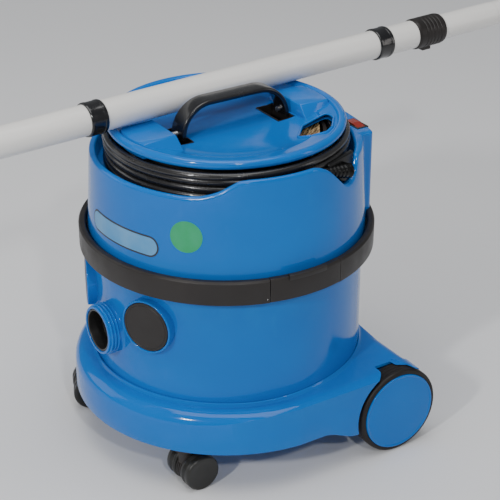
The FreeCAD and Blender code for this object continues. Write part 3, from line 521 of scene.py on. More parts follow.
def base_section(angle):
    """One radial section of the chassis shell, as (radius, height) round its thin wall."""
    reach = base_reach(angle)
    turn = math.radians(angle)
    along = reach * math.sin(turn)
    side = smooth(along, -150, -20)
    deck = blend(97.0, 100.0, side)
    slant = max(abs(math.cos(turn)), abs(math.sin(turn))) if along > 0 else 1.0
    finish = blend(90.0, 38.0, side)
    width = max(min(blend(17.0, 12.0, side) / slant, (reach - 150.2) * 0.8), 0.8)
    round_radius = width / math.sin(math.radians(finish))
    centre = (reach - width, deck - round_radius * slant)
    shoulder = []
    for step in range(9):
        lean = math.radians(blend(0, finish, step / 8))
        shoulder.append((centre[0] + round_radius * math.sin(lean),
                         centre[1] + round_radius * slant * math.cos(lean)))
    cheek = smooth(along, 16, 60) * smooth(abs(reach * math.cos(turn)), 150, 165)
    low = blend(50.0, 36.0, cheek)
    front_lip = [(147.3, 93.0), (147.4, 100.0), (149.0, 101.0), (150.2, 100.6), (151.0, 98.0), (151.4, 97.2)]
    rear_lip = [(147.3, 93.0), (147.4, 103.4), (148.2, 103.6), (149.4, 102.2), (150.4, 101.0), (151.4, 100.4)]
    lip_share = smooth(along, -60, 40)
    lip = [(blend(one[0], two[0], lip_share), blend(one[1], two[1], lip_share))
           for one, two in zip(front_lip, rear_lip)]
    squeeze = min((reach - 147.7) / 4.1, 1.0)
    lip = [(147.3 + (radius - 147.3) * squeeze, height) for radius, height in lip]
    outer = shoulder + [(reach, blend(shoulder[-1][1], low, 0.5)), (reach, low + 1.5),
                        (reach - 0.4, low + 0.4), (reach - 1.5, low)]
    inner = [(reach - 3.2, low), (reach - 3.4, low + 2), (reach - 3.4, shoulder[-1][1] - 4.0),
             (max(shoulder[3][0] - 2.0, reach - 3.4 - width), shoulder[3][1] - 4.5),
             (shoulder[0][0] - 0.4, deck - 5.0), (min(150.4, shoulder[0][0] - 0.6), deck - 5.0)]
    return lip + outer + inner


def make_chassis():
    angles = [step * 1.0 for step in range(360)]
    rows = [[polar(angle, *point) for point in base_section(angle)] for angle in angles]
    shell = skin("chassis", rows, wrap=True)
    arches = []
    for side in (1, -1):
        centre = (side * ARCH_INSIDE, WHEEL_Y, WHEEL_Z)
        close, wide = (lathe("arch", [(0, 0), (radius, 0), (radius, 40), (0, 40)], centre, (side, 0, 0), 128)
                       for radius in (TYRE_ROOM, ARCH_RADIUS))
        arches += [close, carved(wide, [box_mesh("behind", (-250, WHEEL_Y - 2, -20), (250, 200, 200))])]
    shell = carved(shell, arches)
    link_piece("chassis_shell", shell, "blue_shell", "base", replaces=("base_chassis",), sharp=28)
    for side, hand in ((1, "right"), (-1, "left")):
        well = rounded([(56, 37, 3), (136, 37, 3), (136, 97.5, 8), (56, 97.5, 3)])
        rows = [[(side * (ARCH_INSIDE + depth), y, z) for y, z in well] for depth in (-4.0, 0.0)]
        link_piece("wheel_well_" + hand, bevelled(skin("well", rows), 0.6, 2), "blue_shell", "base")
        rows = []
        for step in range(13):
            share = step / 12
            turns = (blend(84, 64, share), 58.0)
            rim = arc((WHEEL_Y, WHEEL_Z), TYRE_ROOM, *turns, 14)
            rim += arc((WHEEL_Y, WHEEL_Z), TYRE_ROOM + blend(1.6, 0.9, share), *reversed(turns), 14)
            rows.append([(side * blend(146.5, 169.6, share), y, z) for y, z in rim])
        link_piece("wheel_cover_" + hand, bevelled(skin("cover", rows), 0.3, 2), "blue_shell", "base")
    under = rounded([(118.0, 50.0), (146.0, 50.0, 1.0), (148.0, 66.0, 1.0), (148.0, 92.0), (145.0, 92.0),
                     (145.0, 68.0, 1.0), (118.0, 54.0)])
    link_piece("chassis_floor", lathe("floor_ring", under), "blue_shell", "base")


def make_wheels():
    for side, hand in ((1, "right"), (-1, "left")):
        centre = (side * 150.0, WHEEL_Y, WHEEL_Z)
        tread = [(WHEEL_RADIUS, 3.0)]
        for groove in (6.5, 11.0, 15.5):
            tread += [(WHEEL_RADIUS, groove - 0.5), (WHEEL_RADIUS - 0.4, groove - 0.2),
                      (WHEEL_RADIUS - 0.4, groove + 0.2), (WHEEL_RADIUS, groove + 0.5)]
        outline = [(43.2, 0.6)] + arc((WHEEL_RADIUS - 3, 3.0), 3.0, -90, 0, 5) + tread[1:]
        outline += arc((WHEEL_RADIUS - 3.4, 18.3), 3.4, 0, 90, 6)
        outline += [(44.9, 21.6), (44.5, 21.0), (44.5, 19.0), (43.2, 19.0)]
        tyre = lathe("tyre", outline, centre, (side, 0, 0), 160)
        link_piece("tyre_band_" + hand, tyre, "tyre", "wheel_" + hand, replaces=("tyre_" + hand,))
        cap = [(0, 19.2), (43.0, 19.2), (CAP_RADIUS, 19.4), (CAP_RADIUS, 21.8)]
        cap += arc((43.2, 22.2), 1.1, 10, 120, 5)
        cap += [(41.4, 22.5), (40.2, 22.6), (32, 23.1), (18, 23.4), (0, 23.5)]
        link_piece("hub_disc_" + hand, lathe("cap", cap, centre, (side, 0, 0), 160), "blue_shell",
                   "wheel_" + hand, replaces=("hub_cap_" + hand,))


def joint_axis(name):
    for joint in frame["joints"]:
        if joint["name"] == name:
            return joint
    raise KeyError(name)


def make_castors():
    """Twin wheels with ribbed treads either side of a rounded hood."""
    for hand in ("right", "left"):
        low, high = (Vector(corner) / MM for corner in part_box("castor_%s_axle" % hand))
        hub = (low + high) / 2
        axle = Vector(joint_axis("castor_%s_roll" % hand)["axis"]).normalized()
        wheels = []
        for turn in (1, -1):
            outline = [(3.1, 5.8), (12, 5.8)] + arc((17.5, 8.3), 2.5, -90, 0, 4)
            for rib in range(3):
                start = 10.4 + rib * 1.9
                outline += [(20.0, start), (19.2, start + 0.5), (19.2, start + 0.9), (20.0, start + 1.4)]
            outline += arc((17.4, 19.4), 2.6, 0, 90, 5)
            outline += [(14.0, 21.7), (12.5, 21.2), (6, 21.0), (0, 21.3), (0, 19.1), (3.1, 19.1)]
            wheels.append(lathe("castor_wheel", outline, hub, axle * turn, 72))
        both = joined("castor_wheels", wheels)
        link_piece("castor_wheels_" + hand, both, "castor_rubber", "castor_%s_rollers" % hand,
                   replaces=("castor_%s_wheels" % hand,))
        hood = [(0, -5.0), (16.5, -5.0), (18.4, -4.0), (18.4, -2.6), (17.4, -2.2), (17.4, -1.2), (18.6, -0.8)]
        hood += [(radius, -height) for radius, height in reversed(hood)]
        stem = Vector(joint_axis("castor_%s_swivel" % hand)["pos_m"]) / MM
        neck = [(0, 28), (8.4, 28), (9.0, 40), (9.6, 43.8), (13.4, 44.6), (14.0, 45.4), (14.0, 49.0),
                (13.0, 49.6), (6.0, 49.6), (6.0, 60.5), (0, 60.5)]
        parts = [lathe("castor_hood", hood, hub, axle, 72), lathe("castor_neck", neck, (stem.x, stem.y, 0))]
        link_piece("castor_hood_" + hand, joined("castor_hood", parts), "black_trim", "castor_" + hand,
                   replaces=("castor_%s_hood" % hand,))


# ---- drum ----

DRUM_RADIUS, INLET_Z, TRIM_Z, TRIM_ANGLES = 147.1, 154.0, 182.0, (-65.0, -115.0)


def make_drum():
    outline = [(0, 62)] + arc((DRUM_RADIUS - 6, 68), 6, -90, 0, 5) + [(DRUM_RADIUS, 120), (DRUM_RADIUS, 180)]
    outline += [(DRUM_RADIUS, 236), (143.6, 236), (143.6, 180), (143.6, 72), (138, 66), (0, 66)]
    shell = lathe("drum", outline, steps=256)
    hole = lathe("inlet_hole", [(0, 0), (25.2, 0), (25.2, 40), (0, 40)], (0, -170, INLET_Z), (0, 1, 0), 96)
    link_piece("drum_shell", carved(shell, [hole]), "blue_shell", "base", replaces=("drum",))
    for hand, angle in zip(("right", "left"), TRIM_ANGLES):
        outward = Vector(polar(angle, 1, 0))
        foot = outward * 136 + Vector((0, 0, TRIM_Z))
        boss = [(0, 2), (29.6, 2), (29.6, 10), (30.0, 16.4)] + arc((28.9, 18.0), 1.1, 0, 150, 6)
        boss += [(27.7, 17.2), (27.7, 16.0), (0, 16.0)]
        link_piece("trim_boss_" + hand, lathe("boss", boss, foot, outward, 96), "blue_shell", "base")
        disc = [(0, 16.2), (27.3, 16.2), (27.3, 18.0)] + arc((26.5, 18.1), 0.8, 0, 90, 4)
        disc += [(25.6, 18.9), (25.0, 18.5), (24.4, 18.5), (23.8, 18.9), (0, 19.3)]
        link_piece("trim_plate_" + hand, lathe("disc", disc, foot, outward, 96), "black_trim", "base",
                   replaces=("trim_disc_" + hand,))


def make_inlet():
    """A threaded spigot on the drum, lined with a black sleeve, blended to the drum by a flare."""
    mouth = (0, -163.0, INLET_Z)
    outline = [(23.5, 0.5)] + arc((24.4, 0.9), 0.9, 180, 270, 3) + arc((25.7, 1.0), 1.0, 270, 360, 3)
    for thread in (4.2, 8.0, 11.8):
        outline += [(26.4, thread - 1.5), (27.2, thread - 1.1)]
        outline += arc((27.2, thread), 0.9, -60, 60, 4) + [(27.2, thread + 1.1), (26.4, thread + 1.5)]
    outline += arc((30.6, 14.2), 4.0, 180, 100, 6) + [(30.6, 24), (23.5, 24)]
    drum_side = lathe("drum_inside", [(0, 120), (145.5, 120), (145.5, 190), (0, 190)], steps=192)
    spigot = carved(lathe("spigot", outline, mouth, (0, 1, 0), 128), [drum_side])
    inner_tube = lathe("neck", [(23.5, 14), (25.1, 14), (25.1, 31.5), (23.5, 31.5)], mouth, (0, 1, 0), 128)
    link_piece("inlet_spigot", joined("inlet", [spigot, inner_tube]), "blue_shell", "base",
               replaces=("hose_inlet",))
    sleeve = rounded([(21.0, 0.8, 0.8), (23.4, 0.8, 0.8), (23.4, 31.0, 0.5), (21.0, 31.0, 0.5)], 4)
    ledge = rounded([(19.6, 17.0, 0.6), (21.3, 17.0), (21.3, 20.0), (19.6, 20.0, 0.6)], 3)
    parts = [lathe("sleeve", sleeve, mouth, (0, 1, 0), 128), lathe("ledge", ledge, mouth, (0, 1, 0), 128)]
    link_piece("inlet_sleeve", joined("sleeve", parts), "black_rubber", "base", replaces=("inlet_lining",))


# ---- band and latches ----

def band_outline():
    return rounded([(147.7, 222.7, 0.3), (160.0, 222.7, 1.2), (160.2, 247.0, 0.6), (158.4, 249.3, 0.6),
                    (153.8, 249.3, 0.6), (152.5, 248.2, 0.4), (152.5, 236.2)], 3)


def make_band():
    for name, start, finish in (("front", 196.4, 343.6), ("rear", 15.0, 165.0)):
        band = arc_sweep("band", band_outline(), start, finish, 150)
        link_piece("band_ring_" + name, band, "black_trim", "base", replaces=("band_" + name,))
    for hand, start in (("right", -16.15), ("left", 165.25)):
        finish = start + 30.9
        plate = arc_sweep("plate", rounded([(153.0, 223.2, 0.4), (160.0, 223.2, 1.2), (160.3, 247.2, 0.6),
                                            (158.4, 249.4, 0.6), (153.0, 249.4, 0.6)], 3), start, finish, 32)
        lip_start = -9.0 if hand == "right" else 173.0
        lip = arc_sweep("lip", rounded([(156.6, 247.4), (161.6, 244.8, 0.9), (162.2, 250.8, 1.0),
                                        (157.0, 252.2, 1.0)], 3), lip_start, lip_start + 16.0, 18)
        side = 1 if hand == "right" else -1
        barrel = lathe("barrel", rounded([(1.7, 0), (3.1, 0, 0.4), (3.1, 44, 0.4), (1.7, 44)], 2),
                       (side * 151.5, -22, 227.5), (0, 1, 0), 24)
        link_piece("latch_plate_" + hand, joined("latch", [plate, lip, barrel]), "black_trim",
                   "latch_" + hand, replaces=("latch_" + hand,))


# ---- head ----

SPINE_HALF, SPINE_REAR, REAR_CENTRE = 73.0, 150.0, -147.0
FILLET, CORNER = 6.0, 8.0
HEAD_LOW, HEAD_TAPER, HEAD_RADIUS, HEAD_TOP_RADIUS = 250, 90, 150.0, 145.3
TOP_EDGE = [(-157, 353), (-153, 352), (-149.2, 347), (-145.4, 341.5), (-141.5, 338), (-137, 335),
            (-130, 334), (-50, 334), (-43, 335), (-38.5, 338), (-34.6, 341.5), (-30.8, 347), (-27, 352),
            (-23, 353), (6, 353), (9.5, 350.5), (13.7, 345), (17, 338), (20.5, 329.5), (23.5, 322),
            (26.5, 318.4), (31, 318.2), (34, 322), (36.0, 331), (37.2, 339), (38.4, 341), (64, 340),
            (116, 340), (126, 341), (171, 341), (175, 352), (178, 353)]


def head_wall(height):
    """The head's outer radius at a height: it narrows a little towards the top."""
    return blend(HEAD_RADIUS, HEAD_TOP_RADIUS, (height - HEAD_LOW) / HEAD_TAPER)


def raised(spot, height):
    return Vector((spot[0], spot[1], height))


def top_edge(angle):
    """The head's top edge height at an angle, with its corners eased."""
    total = 0.0
    for offset in (-1.0, -0.5, 0.0, 0.5, 1.0):
        here = (angle + offset + 180) % 360 - 180
        height = TOP_EDGE[-1][1]
        for (left, first), (right, second) in zip(TOP_EDGE, TOP_EDGE[1:]):
            if left <= here <= right:
                height = blend(first, second, (here - left) / (right - left))
                break
        total += height
    return total / 5


def head_plan(radius):
    """The head's outline at one height, from the front round by the right to the middle of the rear."""
    aside = SPINE_HALF + FILLET
    inner = (aside, math.sqrt((radius + FILLET) ** 2 - aside ** 2))
    meeting = math.degrees(math.atan2(inner[1], inner[0]))
    coarse = [blend(-90, 8, step / 90) for step in range(90)]
    fine = [blend(8, 42, step / 80) for step in range(80)]
    last = [blend(42, meeting, step / 14) for step in range(14)]
    wall = [polar(angle, radius, 0)[:2] for angle in coarse + fine + last]
    fillet = arc(inner, FILLET, 180 + meeting, 180, 6)
    rear_radius = SPINE_REAR - REAR_CENTRE
    outer = (SPINE_HALF - CORNER, REAR_CENTRE + math.sqrt((rear_radius - CORNER) ** 2
                                                         - (SPINE_HALF - CORNER) ** 2))
    end = math.degrees(math.atan2(outer[1] - REAR_CENTRE, outer[0]))
    corner = arc(outer, CORNER, 0, end, 8)
    rear = arc((0, REAR_CENTRE), rear_radius, end, 90, 12)[1:]
    return wall + fillet + corner + rear


def head_rows():
    low_plan, high_plan = head_plan(HEAD_RADIUS), head_plan(HEAD_TOP_RADIUS)
    columns = list(zip(low_plan, high_plan))
    columns += [((-low[0], low[1]), (-high[0], high[1])) for low, high in reversed(columns[1:-1])]
    rows = []
    for low, high in columns:
        low_spot, high_spot = Vector(low), Vector(high)
        angle = math.degrees(math.atan2(high_spot.y, high_spot.x))
        top = top_edge(angle)
        outward = high_spot.normalized()
        rear = smooth(abs(angle - 90), 30, 54)
        inner = blend(134.0, 138.3, rear)

        def outside(height):
            return low_spot.lerp(high_spot, (height - HEAD_LOW) / HEAD_TAPER)

        heights = (HEAD_LOW, 272, 294, 308, top - 5.5)
        row = [raised(low_spot, 239.6)] + [raised(outside(height), height) for height in heights]
        reach = outside(top).length
        bead = min(3.6, (reach - inner) / 2)
        crown = arc((reach - bead, top - bead), bead, 0, 90, 6)
        crown += arc((inner + bead, top - bead), bead, 90, 180, 6)
        inside = [(inner, 316.6), (inner - 1, 315.2), (100, 315.2), (100, 311.8), (138, 311.8), (141, 309),
                  (145.5, 239.6)]
        row += [raised(outward * radius, height) for radius, height in crown + inside]
        rows.append(row)
    return rows


def make_head():
    shell = skin("head", head_rows(), wrap=True)
    seat = box_mesh("switch_seat", (32.5, 128.5, 328.4), (59.5, 143.5, 360))
    link_piece("head_shell", carved(shell, [seat]), "blue_shell", "head", replaces=("head_cover",), sharp=40)


def wall_patch(name, middle, height, half_width, half_height, proud):
    """A thin rounded plate that follows the head's wall; widths are along the wall."""
    rows = []
    steps = 60
    radius = min(half_width, half_height)
    for step in range(steps + 1):
        along = half_width * math.sin(math.pi * (step / steps - 0.5))
        beyond = max(abs(along) - (half_width - radius), 0)
        half = half_height - radius + math.sqrt(max(radius ** 2 - beyond ** 2, 0)) + 0.02
        row = []
        for lift, share in ((0.2, -1), (0.2, 1), (-0.6, 1), (-0.6, -1)):
            level = height + half * share
            reach = head_wall(level) + lift + (proud if lift > 0 else 0)
            row.append(polar(middle + math.degrees(along / 148.0), reach, level))
        rows.append(row)
    return skin(name, rows)


def make_labels():
    finish = ((0.3, 0.42), (900, 0.1, 0.0002))
    outline = moulded("label_edge", (0.012, 0.011, 0.012), (0.02, 0.018, 0.018), (0.05, 0.05, 0.05),
                      (0.35, 0.5), (900, 0.1, 0.0002))
    face = moulded("label_face", (0.045, 0.25, 0.52), (0.055, 0.27, 0.55), (0.2, 0.4, 0.6), *finish)
    leaf = moulded("leaf_mark", (0.0, 0.30, 0.10), (0.0, 0.34, 0.11), (0.06, 0.42, 0.26), *finish)
    link_piece("label_border", wall_patch("border", -80, 274, 53, 11.5, 0.0), "blue_shell", "head", outline)
    link_piece("label_plate", wall_patch("plate", -80, 274, 51.2, 9.7, 0.15), "blue_shell", "head", face)
    link_piece("round_mark", wall_patch("mark", -48, 292, 17.0, 17.0, 0.0), "blue_shell", "head", leaf)


# ---- lid and handle ----

BEAD_RADIUS, BEAD_Z, BEAD = 121.8, 361.3, 5.0
OPENING = [(73.5, 41.2), (84.5, 50.7), (89.5, 66), (82, 78), (62, 94.5), (46.5, 97), (49.1, 64.2)]
POCKETS = {"front": (-73.5, -51.5), "rear": (52.5, 74.5)}
POCKET_LEFT, POCKET_RIGHT = -24, 20.5
DISH = [(0, 352.0), (40, 352.0), (56, 352.2), (70, 353.0), (84, 355.2), (94, 357.8), (98.0, 359.0),
        (98.7, 358.3), (99.3, 358.3), (100.0, 359.8), (106, 360.9), (113.5, 361.9)]


def dish_height(radius):
    for (left, first), (right, second) in zip(DISH, DISH[1:]):
        if left <= radius <= right:
            return blend(first, second, (radius - left) / (right - left))
    return DISH[-1][1]


def shoulder(facing):
    """A raised block on the lid, fore or aft, with sloping ends and sides."""
    start = 77.0 if facing > 0 else 75.0
    top = [(-24, start, 368), (24, start, 368), (26, 113, 366.6), (14, 116.5, 366.2), (0, 117.5, 366.2),
           (-14, 116.5, 366.2), (-26, 113, 366.6)]
    foot = [(-42, start - 1.5, 351), (42, start - 1.5, 351), (28, 117, 351), (14, 119, 351), (0, 120, 351),
            (-14, 119, 351), (-28, 117, 351)]
    rows = [[(x, facing * y, z) for x, y, z in ring] for ring in (foot, top)]
    return bevelled(skin("shoulder", rows), 1.8, 3, 12)


def make_lid():
    outline = DISH + arc((BEAD_RADIUS, BEAD_Z), BEAD, 165, -110, 16)
    outline += [(116.5, 356.5), (106, 355.6), (94, 353.6), (70, 349.0), (0, 348.6)]
    dish = lathe("dish", outline, steps=256)
    opening = skin("opening", [[(x, y, z) for x, y in rounded_plan(OPENING, 5)] for z in (330, 390)])
    pockets = [box_mesh("pocket", (POCKET_LEFT, low, 330), (POCKET_RIGHT, high, 390))
               for low, high in POCKETS.values()]
    dish = carved(dish, [opening] + [pocket.copy() for pocket in pockets])
    blocks = [carved(shoulder(facing), [pocket.copy() for pocket in pockets]) for facing in (1, -1)]
    link_piece("lid_shell", joined("lid", [dish] + blocks), "blue_shell", "head", replaces=("lid",))
    lip_path = [(x, y, dish_height(math.hypot(x, y)) + 0.3) for x, y in rounded_plan(OPENING, 5, 0.6)]
    link_piece("opening_lip", tube("lip", lip_path, 1.3, 10, closed=True), "blue_shell", "head")
    # The pocket linings are black as painted shade: their darkness stands in for the shadow deep in the handle
    # pockets.
    for name, (low, high) in POCKETS.items():
        outer = oblong(POCKET_LEFT, POCKET_RIGHT, low, high, 2, 3)
        inner = oblong(POCKET_LEFT + 1.2, POCKET_RIGHT - 0.6, low + 1.2, high - 1.2, 1, 3)
        walls = ((outer, 332), (outer, 353.2), (inner, 353.2), (inner, 333.4))
        rows = [[(*spot, height) for spot in ring] for ring, height in walls]
        link_piece("handle_pocket_shade_" + name, skin("pocket", rows), "black_trim", "head")


def make_handle():
    """An arched strap that widens to its feet."""
    front, rear, foot, top, bend = -58.0, 70.0, 352.3, 387.25, 33.25
    path = [(front, foot), (front, 353.2)] + arc((front + bend, top - bend), bend, 180, 90, 16)
    path += [(blend(front + bend, rear - bend, step / 6), top) for step in range(1, 6)]
    path += arc((rear - bend, top - bend), bend, 90, 0, 16) + [(rear, 353.2), (rear, foot)]
    rows = []
    for index, (along, height) in enumerate(path):
        before, after = path[max(index - 1, 0)], path[min(index + 1, len(path) - 1)]
        heading = Vector((after[0] - before[0], after[1] - before[1])).normalized()
        outward = Vector((-heading.y, heading.x))
        half = 11.0 + (1 - smooth(height, 354, 384))
        section = oblong(-half, half, -2.75, 2.75, 2.0, 4)
        rows.append([(x, along + outward.x * lift, height + outward.y * lift) for x, lift in section])
    link_piece("handle_strap", skin("handle", rows), "black_gloss", "handle", replaces=("handle",))


# ---- lead ----

LEAD_RADIUS, LEAD_LENGTH = 4.0, 9.6
EXIT = Vector((127.85, 36.66, 337.0))
EXIT_ANGLE = 16.0
LEAD_ROUTE = [(-129.4, 21.8, 351), (-131.5, 52, 352.5), (-131, 87, 347.5), (-128.5, 112, 318),
              (-127.5, 118, 281)]
LAYERS = [(111.0, 4.0, 1), (119.0, 4.0, -1), (127.0, 5.0, 1)]
ROW_LOW, ROW_STEP, TURN_POINTS = 319.6, 7.85, 24


def lead_spot(turns):
    """The lead's radius and height after a number of turns: three layers, up, down and up."""
    passed = 0.0
    for index, (radius, rows, way) in enumerate(LAYERS):
        if turns < passed + rows or index == len(LAYERS) - 1:
            share = turns - passed
            level = share if way > 0 else rows - 1 - share
            level = min(max(level, 0.0), rows - 1)
            before = LAYERS[index - 1][0] if index else radius
            spot = blend(before, radius, smooth(share, 0.0, 0.12))
            return spot, ROW_LOW + ROW_STEP * level
        passed += rows


def winding_points():
    """Control points of the wound lead, clockwise from the strain relief to the free end."""
    points = []
    dive = [(16.0, 133.0, 337.0), (8.0, 131.5, 333.0), (-4.0, 125.0, 327.5), (-16.0, 117.5, 321.5)]
    for angle, radius, height in dive:
        points.append(polar(angle, radius, height))
    last_turn = 12 + (EXIT_ANGLE + 175) / 360
    count = int(last_turn * TURN_POINTS)
    for step in range(2, count + 1):
        turns = step / TURN_POINTS
        radius, height = lead_spot(turns)
        angle = EXIT_ANGLE - 360 * turns
        loose = 0.5 * math.sin(2.3 * turns * 2 * math.pi + 1.1) * smooth(turns, 8, 8.5)
        sag = 0.35 * math.sin(1.37 * turns * 2 * math.pi)
        points.append(polar(angle, (radius + loose) / math.cos(math.pi / TURN_POINTS), height + sag))
    return points


def curve_through(name, points):
    """A curve of one open NURBS spline through the route's control points."""
    curve = bpy.data.curves.new(name, "CURVE")
    curve.dimensions = "3D"
    spline = curve.splines.new("NURBS")
    spline.points.add(len(points) - 1)
    for control, point in zip(spline.points, points):
        control.co = (*(Vector(point) * MM), 1)
    spline.order_u = 3
    spline.use_endpoint_u = True
    spline.resolution_u = 4
    return curve


def make_lead(plug_pieces):
    route = winding_points() + LEAD_ROUTE
    curve = curve_through("mains_lead", route)
    curve.bevel_depth = LEAD_RADIUS * MM
    curve.bevel_resolution = 4
    curve.use_fill_caps = True
    curve.materials.append(MATERIALS["lead_sheath"])
    lead = bpy.data.objects.new("mains_lead", curve)
    SCENE.collection.objects.link(lead)
    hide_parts("mains_lead_winding", "mains_lead_tail")
    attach(lead, "head")


def make_plug():
    """A round two-pin plug, flattened front and back, hanging from the lead."""
    end, before = Vector(LEAD_ROUTE[-1]), Vector(LEAD_ROUTE[-2])
    down = (end - before).normalized()
    outward = Vector((end.x, end.y, 0)).normalized()
    outward = (outward - down * outward.dot(down)).normalized()
    sideways = down.cross(outward).normalized()
    stations = [(0, 4.6, 4.6), (1, 5.2, 5.2)]
    for rib in range(4):
        start = 2.0 + rib * 2.4
        wide = 5.6 + rib * 0.8
        stations += [(start, wide, wide), (start + 1.2, wide, wide), (start + 1.4, wide - 1.1, wide - 1.1),
                     (start + 2.2, wide - 1.0, wide - 1.0)]
    stations += [(12.5, 9.0, 8.4), (14.0, 13.0, 9.8), (16.5, 16.4, 10.7), (20, 17.4, 11.0), (31, 17.5, 11.0),
                 (34.5, 17.2, 10.6), (36.6, 16.0, 9.6), (37.0, 14.6, 8.6)]
    rows = []
    for depth, wide, thick in stations:
        ring = []
        for side in range(40):
            turn = 2 * math.pi * side / 40
            squareness = 0.8 if wide > 12 else 1.0
            x = math.copysign(abs(math.cos(turn)) ** squareness, math.cos(turn)) * wide
            y = math.copysign(abs(math.sin(turn)) ** squareness, math.sin(turn)) * thick
            ring.append(end + down * depth + sideways * x + outward * y)
        rows.append(ring)
    body = link_piece("plug_body", skin("plug", rows), "lead_sheath", "head", replaces=("mains_plug",))
    pin = [(0, 0), (2.4, 0), (2.4, 18.4)] + arc((1.2, 18.8), 1.2, 0, 90, 4) + [(0, 20)]
    sleeve = [(0, -1), (2.9, -1), (2.9, 0.8), (2.42, 9.0), (0, 9.0)]
    feet = [end + down * 36.0 + sideways * side for side in (-9.5, 9.5)]
    pins = [lathe("pin", pin, foot, down, 24) for foot in feet]
    sleeves = [lathe("pin_sleeve", sleeve, foot, down, 24) for foot in feet]
    pin_piece = link_piece("plug_pins", joined("pins", pins), "steel", "head")
    sleeve_piece = link_piece("plug_sleeves", joined("sleeves", sleeves), "lead_sheath", "head")
    return [body, pin_piece, sleeve_piece]


def make_relief():
    """The ribbed strain relief and the gland that holds it in the head's notch."""
    tip, base = EXIT, Vector(polar(31, 142, 329))
    along = (base - tip).normalized()
    length = (base - tip).length
    outline = [(4.1, -1.0), (4.9, -1.2), (5.4, 0.2)]
    for rib in range(6):
        start = 1.5 + rib * (length - 6) / 6
        radius = blend(5.4, 7.4, rib / 5)
        outline += [(radius, start), (radius, start + 2.6), (radius - 0.9, start + 3.1),
                    (radius - 0.9, start + 4.0)]
    outline += [(7.4, length - 4), (7.9, length - 2.5), (7.9, length - 1), (0, length - 1), (0, -1.0)]
    link_piece("relief_boot", lathe("relief", outline, tip, along, 40), "black_rubber",
               "head", MATERIALS["gland"], ("strain_relief",))
    face = [(41.5, 345), (42, 341.5), (58, 322.5), (66, 319), (76, 319.2), (85, 326.5), (87, 340),
            (85.5, 344)]
    plan = rounded([(y, z, 2.0) for y, z in face], 3)
    rows = []
    for depth in (-5.0, -4.0, -1.2, 0.0):
        shrink = 1.2 if depth in (-5.0, 0.0) else 0.0
        ring = []
        for y, z in plan:
            spot = Vector((y, z)) + (Vector((66, 332)) - Vector((y, z))).normalized() * shrink
            sunk = blend(10.5, 5.0, smooth(spot.x, 50, 60))
            reach = head_wall(spot.y) - sunk + depth
            ring.append((math.sqrt(reach ** 2 - spot.x ** 2), spot.x, spot.y))
        rows.append(ring)
    link_piece("gland_block", bevelled(skin("gland", rows), 0.5, 2), "black_trim", "head",
               MATERIALS["gland"], ("lead_gland",))


# ---- brush ----

HAIR_COUNT, HAIR_SPREAD, HAIR_LIMIT = 170, 21.0, 99
BRUSH_MIDDLE = Vector((51, 58, 0))


def make_brush():
    """A round dusting brush under the lid's opening: a moulded back and its leaning hairs."""
    back = rounded([(0, 316), (23.4, 316, 2), (24, 322, 1), (22.8, 328.6, 2), (0, 328.6)], 4)
    link_piece("brush_back", lathe("back", back, BRUSH_MIDDLE, steps=96), "black_trim", "head",
               replaces=("brush_body",))
    draw = random.Random(7)
    hairs = []
    for _ in range(HAIR_COUNT):
        turn = draw.uniform(0, 2 * math.pi)
        reach = HAIR_SPREAD * math.sqrt(draw.random())
        root = BRUSH_MIDDLE + Vector((reach * math.cos(turn), reach * math.sin(turn), 327))
        lean = Vector((draw.uniform(-5, 12), draw.uniform(8, 24), 0))
        lean += (root - BRUSH_MIDDLE).to_2d().to_3d() * 0.5
        tip = root + lean + Vector((0, 0, draw.uniform(16.0, 24.0)))
        if tip.to_2d().length > HAIR_LIMIT:
            tip = raised(tip.to_2d().normalized() * HAIR_LIMIT, tip.z)
        bend = (root + tip) / 2 + Vector((-lean.x, -lean.y, 3)) * 0.18
        hairs.append(tube("hair", [root, bend, tip], draw.uniform(0.35, 0.7), 5, taper=[1.0, 0.9, 0.6]))
    link_piece("brush_hairs", joined("hairs", hairs), "bristle", "head", replaces=("brush_bristles",))


# ---- wand ----

WAND_YAW = math.radians(3.32)
WAND_ALONG = Vector((-math.sin(WAND_YAW), math.cos(WAND_YAW), 0))
WAND_MIDDLE = Vector((-33.4, 0, 384.3))
WAND_END = 450.0 / math.cos(WAND_YAW)


def wand_ring(name, corners, slot, body, material=None, replaces=()):
    mesh = lathe(name, rounded(corners, 4), WAND_MIDDLE, WAND_ALONG, 96)
    return link_piece(name, mesh, slot, body, material, replaces)


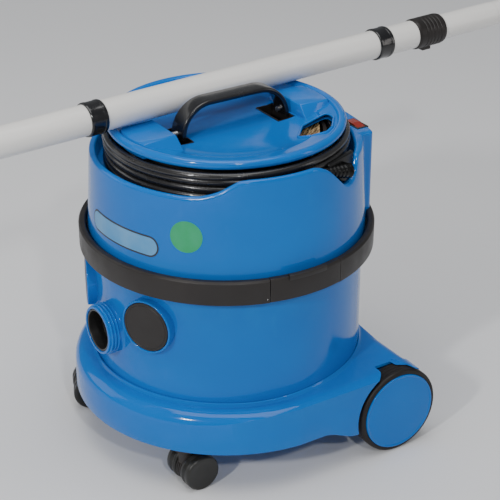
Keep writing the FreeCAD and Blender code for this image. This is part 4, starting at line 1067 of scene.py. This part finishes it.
def make_wand():
    tool_end = [(14.8, -WAND_END, 0.4), (15.9, -WAND_END, 0.5), (15.9, 50.5 - WAND_END, 0.8),
                (16.25, 52 - WAND_END, 0.8)]
    wand_ring("wand_tube", tool_end + [(16.25, 319, 0.4), (14.8, 319, 0.4)], "wand_coating", "wand",
              replaces=("wand_outer_tube",))
    wand_ring("wand_slide_tube", [(13.2, 60, 0.3), (14.6, 60, 0.4), (14.6, WAND_END - 42, 0.8),
                                  (14.2, WAND_END - 40.5, 0.8), (14.2, WAND_END, 0.4), (13.2, WAND_END, 0.3)],
              "wand_coating", "wand_inner", replaces=("wand_inner_tube",))
    for name, start in (("front", -155.0), ("rear", 225.0)):
        half = [(16.3, -10), (17.6, -10, 0.6), (18.1, -8.5, 0.4), (18.1, -6.0, 0.2), (17.7, -5.5, 0.2)]
        half += [(radius, -along, *bend) for radius, along, *bend in reversed(half)]
        corners = [(radius, start + 10 + along, *bend) for radius, along, *bend in half]
        wand_ring("wand_clip_" + name, corners, "black_gloss", "wand", replaces=("wand_collar_" + name,))
    sleeve = [(14.75, 320, 0.3), (14.75, 325, 0.3), (17.0, 325, 0.9), (17.8, 321, 0.6)]
    for rib in range(5):
        start = 317.5 - rib * 5.2
        sleeve += [(17.8, start, 0.2), (17.2, start - 0.8, 0.2), (17.2, start - 1.8, 0.2),
                   (17.8, start - 2.6, 0.2)]
    sleeve += [(17.8, 287, 0.6), (17.0, 284, 0.6), (16.3, 284), (16.3, 320)]
    wand_ring("wand_grip_sleeve", list(reversed(sleeve)), "black_trim", "wand",
              replaces=("wand_lock_sleeve",))


# ---- everything ----

def finish_cad_nodes():
    """Give each CAD node that is still shown the procedural material of its slot."""
    slots = {part["node"]: part["material_slot"] for part in frame["record"]["subparts"]}
    for name, node in frame["nodes"].items():
        for holder in node.material_slots:
            holder.material = MATERIALS[slots[name]]


make_camera()
make_lead(make_plug())
make_floor()
make_lights()
finish_cad_nodes()
make_chassis()
make_wheels()
make_castors()
make_drum()
make_inlet()
make_band()
make_head()
make_labels()
make_lid()
make_handle()
make_relief()
make_brush()
make_wand()
